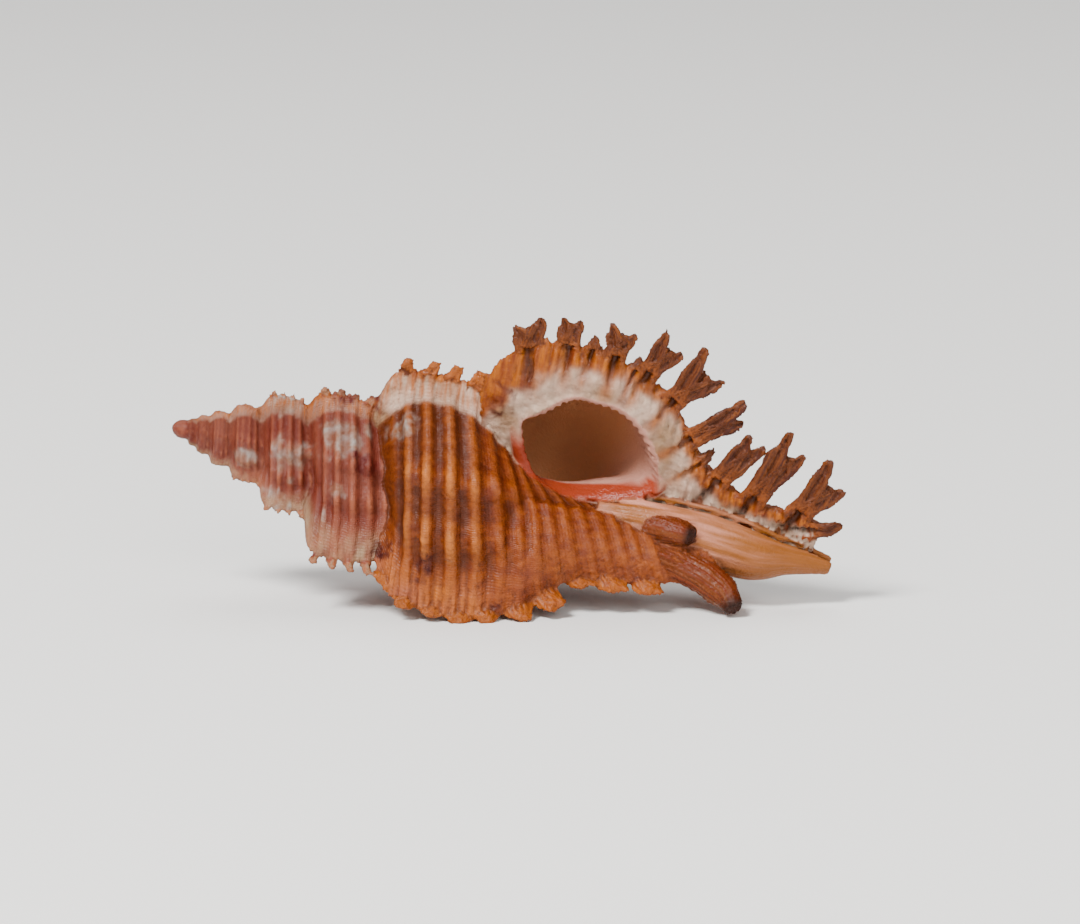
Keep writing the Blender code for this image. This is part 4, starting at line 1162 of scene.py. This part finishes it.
# The shell's colours from the lowest layer up: where each lies, its colour, the noise that breaks
# it up, the share of it that is left there, and a second colour with the noise that mixes it in.
# Most of a noise lies between the two values.
NOISE_FROM, NOISE_TO = 0.35, 0.65
LAYERS = [
    ("young", "orange", None, 1.0, "body_brown", "streak"),
    ("spire_ridge", "spire_light", "mottle", 0.45, None, None),
    ("body_ridge", "tan", "mottle", 0.45, None, None),
    ("spire_groove", "red_brown", "streak", 0.6, None, None),
    ("body_groove", "dark_brown", "streak", 0.7, None, None),
    ("base_groove", "base_brown", "streak", 0.6, None, None),
    ("spire_edge", "spire_light", "streak", 0.3, "worn", "blotch"),
    ("body_edge", "fringe", "ray", 0.45, "spire_light", "blotch"),
    ("worn", "worn", "mottle", 0.3, "grey", "mottle"),
    ("pale", "white", "mottle", 0.75, "worn", "blotch"),
    ("rays", "fringe", "ray", 0.0, "orange", "blotch"),
    ("amber", "amber", "mottle", 0.75, "body_brown", "ray"),
    ("old_leaf", "fringe", "leaf", 0.6, "orange", "leaf"),
    ("spire_leaf", "spire_light", "leaf", 0.7, "worn", "leaf"),
    ("bark", "bark", None, 1.0, "light_streak", "leaf"),
    ("channel", "dark_channel", "leaf", 0.7, None, None),
    ("canal_skin", "pink_white", None, 1.0, "canal_tan", "leaf"),
    ("canal_tip", "canal_tan", "leaf", 0.8, None, None),
    ("stump", "light_streak", None, 1.0, "body_brown", "leaf"),
    ("stump_end", "dark_channel", "mottle", 0.7, None, None),
    ("red", "red_stain", "mottle", 0.5, None, None),
    ("purple", "purple_stain", "mottle", 0.5, None, None),
    ("brown", "base_brown", "mottle", 0.5, None, None),
    # Painted shade, dark brown in creases and hollows.
    ("hollow", "dark_brown", None, 1.0, None, None),
    ("lining", "mouth_pink", None, 1.0, None, None),
    ("deep", "mouth_brown", None, 1.0, None, None),
    ("coral", "coral", None, 1.0, None, None),
]


def shell_material(colours):
    """Aragonite shell: chalky in colour where worn, satin with a mottled roughness, glossy at the
    mouth.
    """
    material = bpy.data.materials.new("aragonite shell")
    material.use_nodes = True
    tree = material.node_tree
    shader = tree.nodes["Principled BSDF"]
    where = add(tree, "ShaderNodeTexCoord").outputs["Object"]
    maths = "ShaderNodeMath"
    mark = {name: add(tree, "ShaderNodeAttribute", attribute_name=name).outputs["Fac"]
            for name in ["age", "across", "smooth", "threads"] + [layer[0] for layer in LAYERS]}
    strand, ray = (add(tree, "ShaderNodeAttribute", attribute_name=name).outputs["Vector"]
                   for name in ("strand", "ray"))
    # Streaks along the growth: long across the cords' direction, short along it.
    grown = add(tree, "ShaderNodeCombineXYZ", {
        0: add(tree, maths, {0: mark["age"], 1: 60.0}, operation="MULTIPLY"),
        1: add(tree, maths, {0: mark["across"], 1: 0.35}, operation="MULTIPLY")})
    # Blotches of about 6 mm, mottling of 1.5 mm, grain of 0.3 mm, and streaks along each frond.
    noise = {name: add(tree, "ShaderNodeTexNoise", {"Vector": at, "Scale": scale,
                                                    "Detail": detail}).outputs[0]
             for name, at, scale, detail in (
                 ("blotch", where, 170.0, 3.0), ("mottle", where, 700.0, 4.0),
                 ("grain", where, 3200.0, 3.0), ("streak", grown, 1.0, 3.0),
                 ("leaf", strand, 1.0, 2.0), ("ray", ray, 1.0, 3.0))}
    share = add(tree, "ShaderNodeMapRange", {"Value": noise["blotch"], "From Min": NOISE_FROM,
                                             "From Max": NOISE_TO})
    colour = add(tree, "ShaderNodeMix", {0: share, 6: linear(colours.spire_pink),
                                         7: linear(colours.spire_brown)}, data_type="RGBA")
    for place_of, first, broken_by, least, second, mixed_by in LAYERS:
        paint = linear(getattr(colours, first))
        if second:
            share = add(tree, "ShaderNodeMapRange", {
                "Value": noise[mixed_by], "From Min": NOISE_FROM, "From Max": NOISE_TO})
            paint = add(tree, "ShaderNodeMix", {
                0: share, 6: paint, 7: linear(getattr(colours, second))},
                data_type="RGBA").outputs[2]
        share = mark[place_of]
        if broken_by:
            share = add(tree, maths, {0: share, 1: add(tree, "ShaderNodeMapRange", {
                "Value": noise[broken_by], "From Min": NOISE_FROM, "From Max": NOISE_TO,
                "To Min": least})}, operation="MULTIPLY")
        colour = add(tree, "ShaderNodeMix", {0: share, 6: colour.outputs[2], 7: paint},
                     data_type="RGBA")
    tree.links.new(colour.outputs[2], shader.inputs["Base Color"])

    rough = add(tree, "ShaderNodeMapRange", {"Value": noise["mottle"], "From Min": 0.3,
                                             "From Max": 0.7, "To Min": 0.28, "To Max": 0.52})
    rough = add(tree, "ShaderNodeMix", {0: mark["smooth"], 2: rough, 3: 0.24}, data_type="FLOAT")
    tree.links.new(rough.outputs[0], shader.inputs["Roughness"])
    shader.inputs["IOR"].default_value = 1.53
    shader.inputs["Specular IOR Level"].default_value = 0.2

    # Fine threads about 0.5 mm apart across the cords, growth lines 0.35 mm apart, and grain.
    thread = add(tree, maths, {0: mark["across"], 1: 11.0}, operation="MULTIPLY")
    thread = add(tree, maths, {0: thread}, operation="SINE")
    line = add(tree, maths, {0: mark["age"], 1: 2200.0}, operation="MULTIPLY")
    line = add(tree, maths, {0: noise["mottle"], 1: 9.0, 2: line}, operation="MULTIPLY_ADD")
    line = add(tree, maths, {0: line}, operation="SINE")
    height = add(tree, maths, {0: thread, 1: 0.5, 2: line}, operation="MULTIPLY_ADD")
    height = add(tree, maths, {0: height, 1: mark["threads"]}, operation="MULTIPLY")
    height = add(tree, maths, {0: height, 1: 0.12}, operation="MULTIPLY")
    height = add(tree, maths, {0: noise["grain"], 1: 0.9, 2: height}, operation="MULTIPLY_ADD")
    # Striae along the fronds, the canal and the stumps.
    fibres = add(tree, maths, {0: 1.0, 1: mark["threads"]}, operation="SUBTRACT")
    fibres = add(tree, maths, {0: fibres, 1: mark["smooth"]}, operation="SUBTRACT")
    fibres = add(tree, maths, {0: fibres, 1: noise["leaf"]}, operation="MULTIPLY")
    height = add(tree, maths, {0: fibres, 1: 1.1, 2: height}, operation="MULTIPLY_ADD")
    # Pustules about 0.9 mm apart on the pale faces.
    pustules = add(tree, "ShaderNodeTexVoronoi", {"Vector": where, "Scale": 1100.0},
                   feature="SMOOTH_F1")
    pustule = add(tree, maths, {0: pustules.outputs["Distance"], 1: mark["pale"]},
                  operation="MULTIPLY")
    height = add(tree, maths, {0: pustule, 1: -1.2, 2: height}, operation="MULTIPLY_ADD")
    bump = add(tree, "ShaderNodeBump", {"Height": height, "Distance": 0.16 * MM,
                                        "Strength": 0.7})
    tree.links.new(bump.outputs[0], shader.inputs["Normal"])
    return material


def floor_material(code):
    """Pale matt paper under the shell."""
    material = bpy.data.materials.new("pale matt paper")
    material.use_nodes = True
    tree = material.node_tree
    shader = tree.nodes["Principled BSDF"]
    where = add(tree, "ShaderNodeTexCoord").outputs["Object"]
    fibre = add(tree, "ShaderNodeTexNoise", {"Vector": where, "Scale": 900.0, "Detail": 3.0})
    bump = add(tree, "ShaderNodeBump", {"Height": fibre, "Distance": 0.02 * MM, "Strength": 0.3})
    shader.inputs["Base Color"].default_value = linear(code)
    shader.inputs["Roughness"].default_value = 0.9
    tree.links.new(bump.outputs[0], shader.inputs["Normal"])
    return material


class ShellSettings(bpy.types.PropertyGroup):
    cord_height: FloatProperty(name="Cord height", description="Height of the cords at the lip, mm",
                               default=0.38, min=0)
    rib_height: FloatProperty(name="Rib height", description="Height of the ribs at the lip, mm",
                              default=1.5, min=0)
    frond_width: FloatProperty(name="Frond width", description="Width of the fronds, as a factor",
                               default=1.5, min=0.5, max=2, subtype="FACTOR")
    triangles: IntProperty(name="Triangles", description="Most triangles in the shell's mesh",
                           default=196000, min=20000, max=199000)


class StageSettings(bpy.types.PropertyGroup):
    distance: FloatProperty(name="Camera distance", description="From the camera to the shell",
                            default=0.8, unit="LENGTH", subtype="DISTANCE")
    floor_size: FloatProperty(name="Floor size", description="Width of the floor", default=8.0,
                              unit="LENGTH", subtype="DISTANCE")
    key_power: FloatProperty(name="Key light", default=34.0, unit="POWER",
                             description="Power of the small light, above on the left")
    fill_power: FloatProperty(name="Fill lights", default=8.0, unit="POWER",
                              description="Power of each soft light, in front and above")
    sky: FloatProperty(name="Room light", description="Strength of the light from all round",
                       default=0.35, min=0)


COLOUR_NAMES = [
    ("spire_pink", "Spire pink", "733A2A"), ("spire_brown", "Spire brown", "5C2115"),
    ("spire_light", "Spire ridges", "914F34"), ("orange", "Orange", "7D3805"),
    ("body_brown", "Body brown", "602305"), ("tan", "Ridge tan", "AE6428"),
    ("dark_brown", "Dark brown", "431A06"), ("red_brown", "Red brown", "440905"),
    ("base_brown", "Base brown", "4A1405"), ("fringe", "Fringe", "A65A1C"),
    ("worn", "Worn patches", "8A6D52"), ("grey", "Weathered grey", "8C8078"),
    ("white", "White", "C0A591"), ("amber", "Amber", "A0560A"), ("bark", "Frond brown", "3C1406"),
    ("light_streak", "Frond streaks", "66320C"), ("dark_channel", "Frond channel", "200C05"),
    ("pink_white", "Canal pink", "B5765F"), ("canal_tan", "Canal tan", "804816"),
    ("coral", "Coral", "84301A"), ("red_stain", "Red stains", "460505"),
    ("purple_stain", "Purple stains", "320505"), ("mouth_pink", "Mouth pink", "A87868"),
    ("mouth_brown", "Mouth brown", "B4764E"),
]


class ColourSettings(bpy.types.PropertyGroup):
    __annotations__ = {
        name: StringProperty(name=label, description=label + " as an sRGB hex code",
                             default=code, maxlen=6)
        for name, label, code in COLOUR_NAMES}


def finished_shell(settings, material):
    """The shell's mesh: its shapes are joined and fused, carved, thinned and marked for colour."""
    whorl = run_tree(whorl_tree(), bpy.data.meshes.new("seed"),
                     {"Cord Height": settings.cord_height, "Rib Height": settings.rib_height})
    fronds = run_tree(frond_tree(), frond_points(settings.frond_width), {})
    shapes = [mesh_parts(whorl), mesh_parts(fronds), canal(), apex_dome(), mouth_rim(),
              stump(HOOK, HOOK_AZIMUTH, HOOK_RADIUS), stump(STUB, STUB_AZIMUTH, STUB_RADIUS)]
    growth = joined("growth", shapes)
    source = linked("growth_source", growth.copy())
    skin = one_skin(growth, [chamber(), canal_slit()])
    tree = record_tree()
    skin = run_tree(tree, skin, {"Growth": source})
    surface = Surface(skin)
    move_points(skin, surface.points + surface.normals * relief(surface)[:, None])
    triangles = sum(len(face.vertices) - 2 for face in skin.polygons)
    skin = with_modifier(skin, "DECIMATE", ratio=min(1.0, settings.triangles / triangles),
                         use_collapse_triangulate=True)
    skin = run_tree(tree, skin, {"Growth": source})
    bpy.data.objects.remove(source)
    surface = Surface(skin)
    marks = colour_marks(surface)
    marks["age"], marks["across"] = surface.age, surface.across
    for name, values in marks.items():
        store(skin, name, "FLOAT", values)
    for name, values in (("strand", surface.strand), ("ray", surface.ray)):
        store(skin, name, "FLOAT_VECTOR", values)
    for name in ("flange", "rise", "side", "frond", "canal") + NOISES:
        skin.attributes.remove(skin.attributes[name])
    skin.transform(LAY)
    # No point of it is under the floor.
    rested, _, _ = mesh_parts(skin)
    rested[:, 2] = np.maximum(rested[:, 2], 0)
    move_points(skin, rested)
    skin.validate()
    skin.materials.clear()
    skin.materials.append(material)
    skin.shade_smooth()
    return skin


class MUREX_OT_shell(bpy.types.Operator):
    """Grows the shell as one piece"""
    bl_idname = "murex.shell"
    bl_label = "Shell"

    def execute(self, context):
        settings, colours = context.scene.murex_shell, context.scene.murex_colours
        skin = finished_shell(settings, shell_material(colours))
        shell = linked("murex_shell", skin)
        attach(shell, "root")
        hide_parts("shell")
        return {"FINISHED"}


class MUREX_OT_stage(bpy.types.Operator):
    """Makes the floor, the lights and the camera"""
    bl_idname = "murex.stage"
    bl_label = "Floor, lights and camera"

    def execute(self, context):
        settings = context.scene.murex_stage
        half = settings.floor_size / 2
        mesh = bpy.data.meshes.new("floor")
        mesh.from_pydata([(-half, -half, 0), (half, -half, 0), (half, half, 0), (-half, half, 0)],
                         [], [(0, 1, 2, 3)])
        mesh.materials.append(floor_material(FLOOR_COLOUR))
        linked("floor", mesh)

        turned = LAY.to_3x3()
        right = turned @ Vector((math.cos(AXIS_TILT), 0, math.sin(AXIS_TILT)))
        up = turned @ Vector((-math.sin(AXIS_TILT), 0, math.cos(AXIS_TILT)))
        back = turned @ Vector((0, -1, 0))
        target = LAY @ (Vector((FRAME_CENTRE[0], 0, FRAME_CENTRE[1])) * MM)
        lens = bpy.data.cameras.new("camera")
        camera = linked("camera", lens)
        camera.matrix_world = (Matrix.Translation(target + back * settings.distance)
                               @ Matrix((right, up, back)).transposed().to_4x4())
        lens.sensor_width = SENSOR_WIDTH
        lens.lens = SENSOR_WIDTH * settings.distance * FRAME_PIXELS_A_METRE / FRAME_WIDTH
        lens.clip_end = 20
        context.scene.camera = camera

        # Each light has a power, a width in metres and a place, and points at the shell.
        for name, power, size, spot in (
                ("key", settings.key_power, 0.35, (-0.45, -0.8, 1.0)),
                ("fill", settings.fill_power, 0.6, (0.35, -1.1, 0.5)),
                ("top", settings.fill_power, 1.0, (0.1, 0.5, 1.2))):
            light = bpy.data.lights.new(name, "AREA")
            light.energy, light.size = power, size
            lamp = linked(name, light)
            lamp.location = spot
            lamp.rotation_euler = (-Vector(spot)).to_track_quat("-Z", "Y").to_euler()
        world = bpy.data.worlds.new("room")
        context.scene.world = world
        world.use_nodes = True
        background = world.node_tree.nodes["Background"]
        background.inputs["Color"].default_value = linear(ROOM_COLOUR)
        background.inputs["Strength"].default_value = settings.sky
        return {"FINISHED"}


class MUREX_PT_panel(bpy.types.Panel):
    bl_idname = "MUREX_PT_panel"
    bl_label = "Murex shell"
    bl_space_type = "VIEW_3D"
    bl_region_type = "UI"
    bl_category = "Murex shell"

    def draw(self, context):
        for group in ("murex_shell", "murex_colours", "murex_stage"):
            settings = getattr(context.scene, group)
            box = self.layout.box()
            for name in type(settings).__annotations__:
                box.prop(settings, name)
        for operator in OPERATORS:
            self.layout.operator(operator.bl_idname)


OPERATORS = (MUREX_OT_shell, MUREX_OT_stage)
GROUPS = {"murex_shell": ShellSettings, "murex_colours": ColourSettings,
          "murex_stage": StageSettings}


def register():
    for group in (*GROUPS.values(), *OPERATORS, MUREX_PT_panel):
        bpy.utils.register_class(group)
    for name, group in GROUPS.items():
        setattr(bpy.types.Scene, name, PointerProperty(type=group))


def unregister():
    for name in GROUPS:
        delattr(bpy.types.Scene, name)
    for group in (MUREX_PT_panel, *OPERATORS, *GROUPS.values()):
        bpy.utils.unregister_class(group)


def main():
    register()
    bpy.ops.murex.stage()
    bpy.ops.murex.shell()


if __name__ == "__main__":
    main()
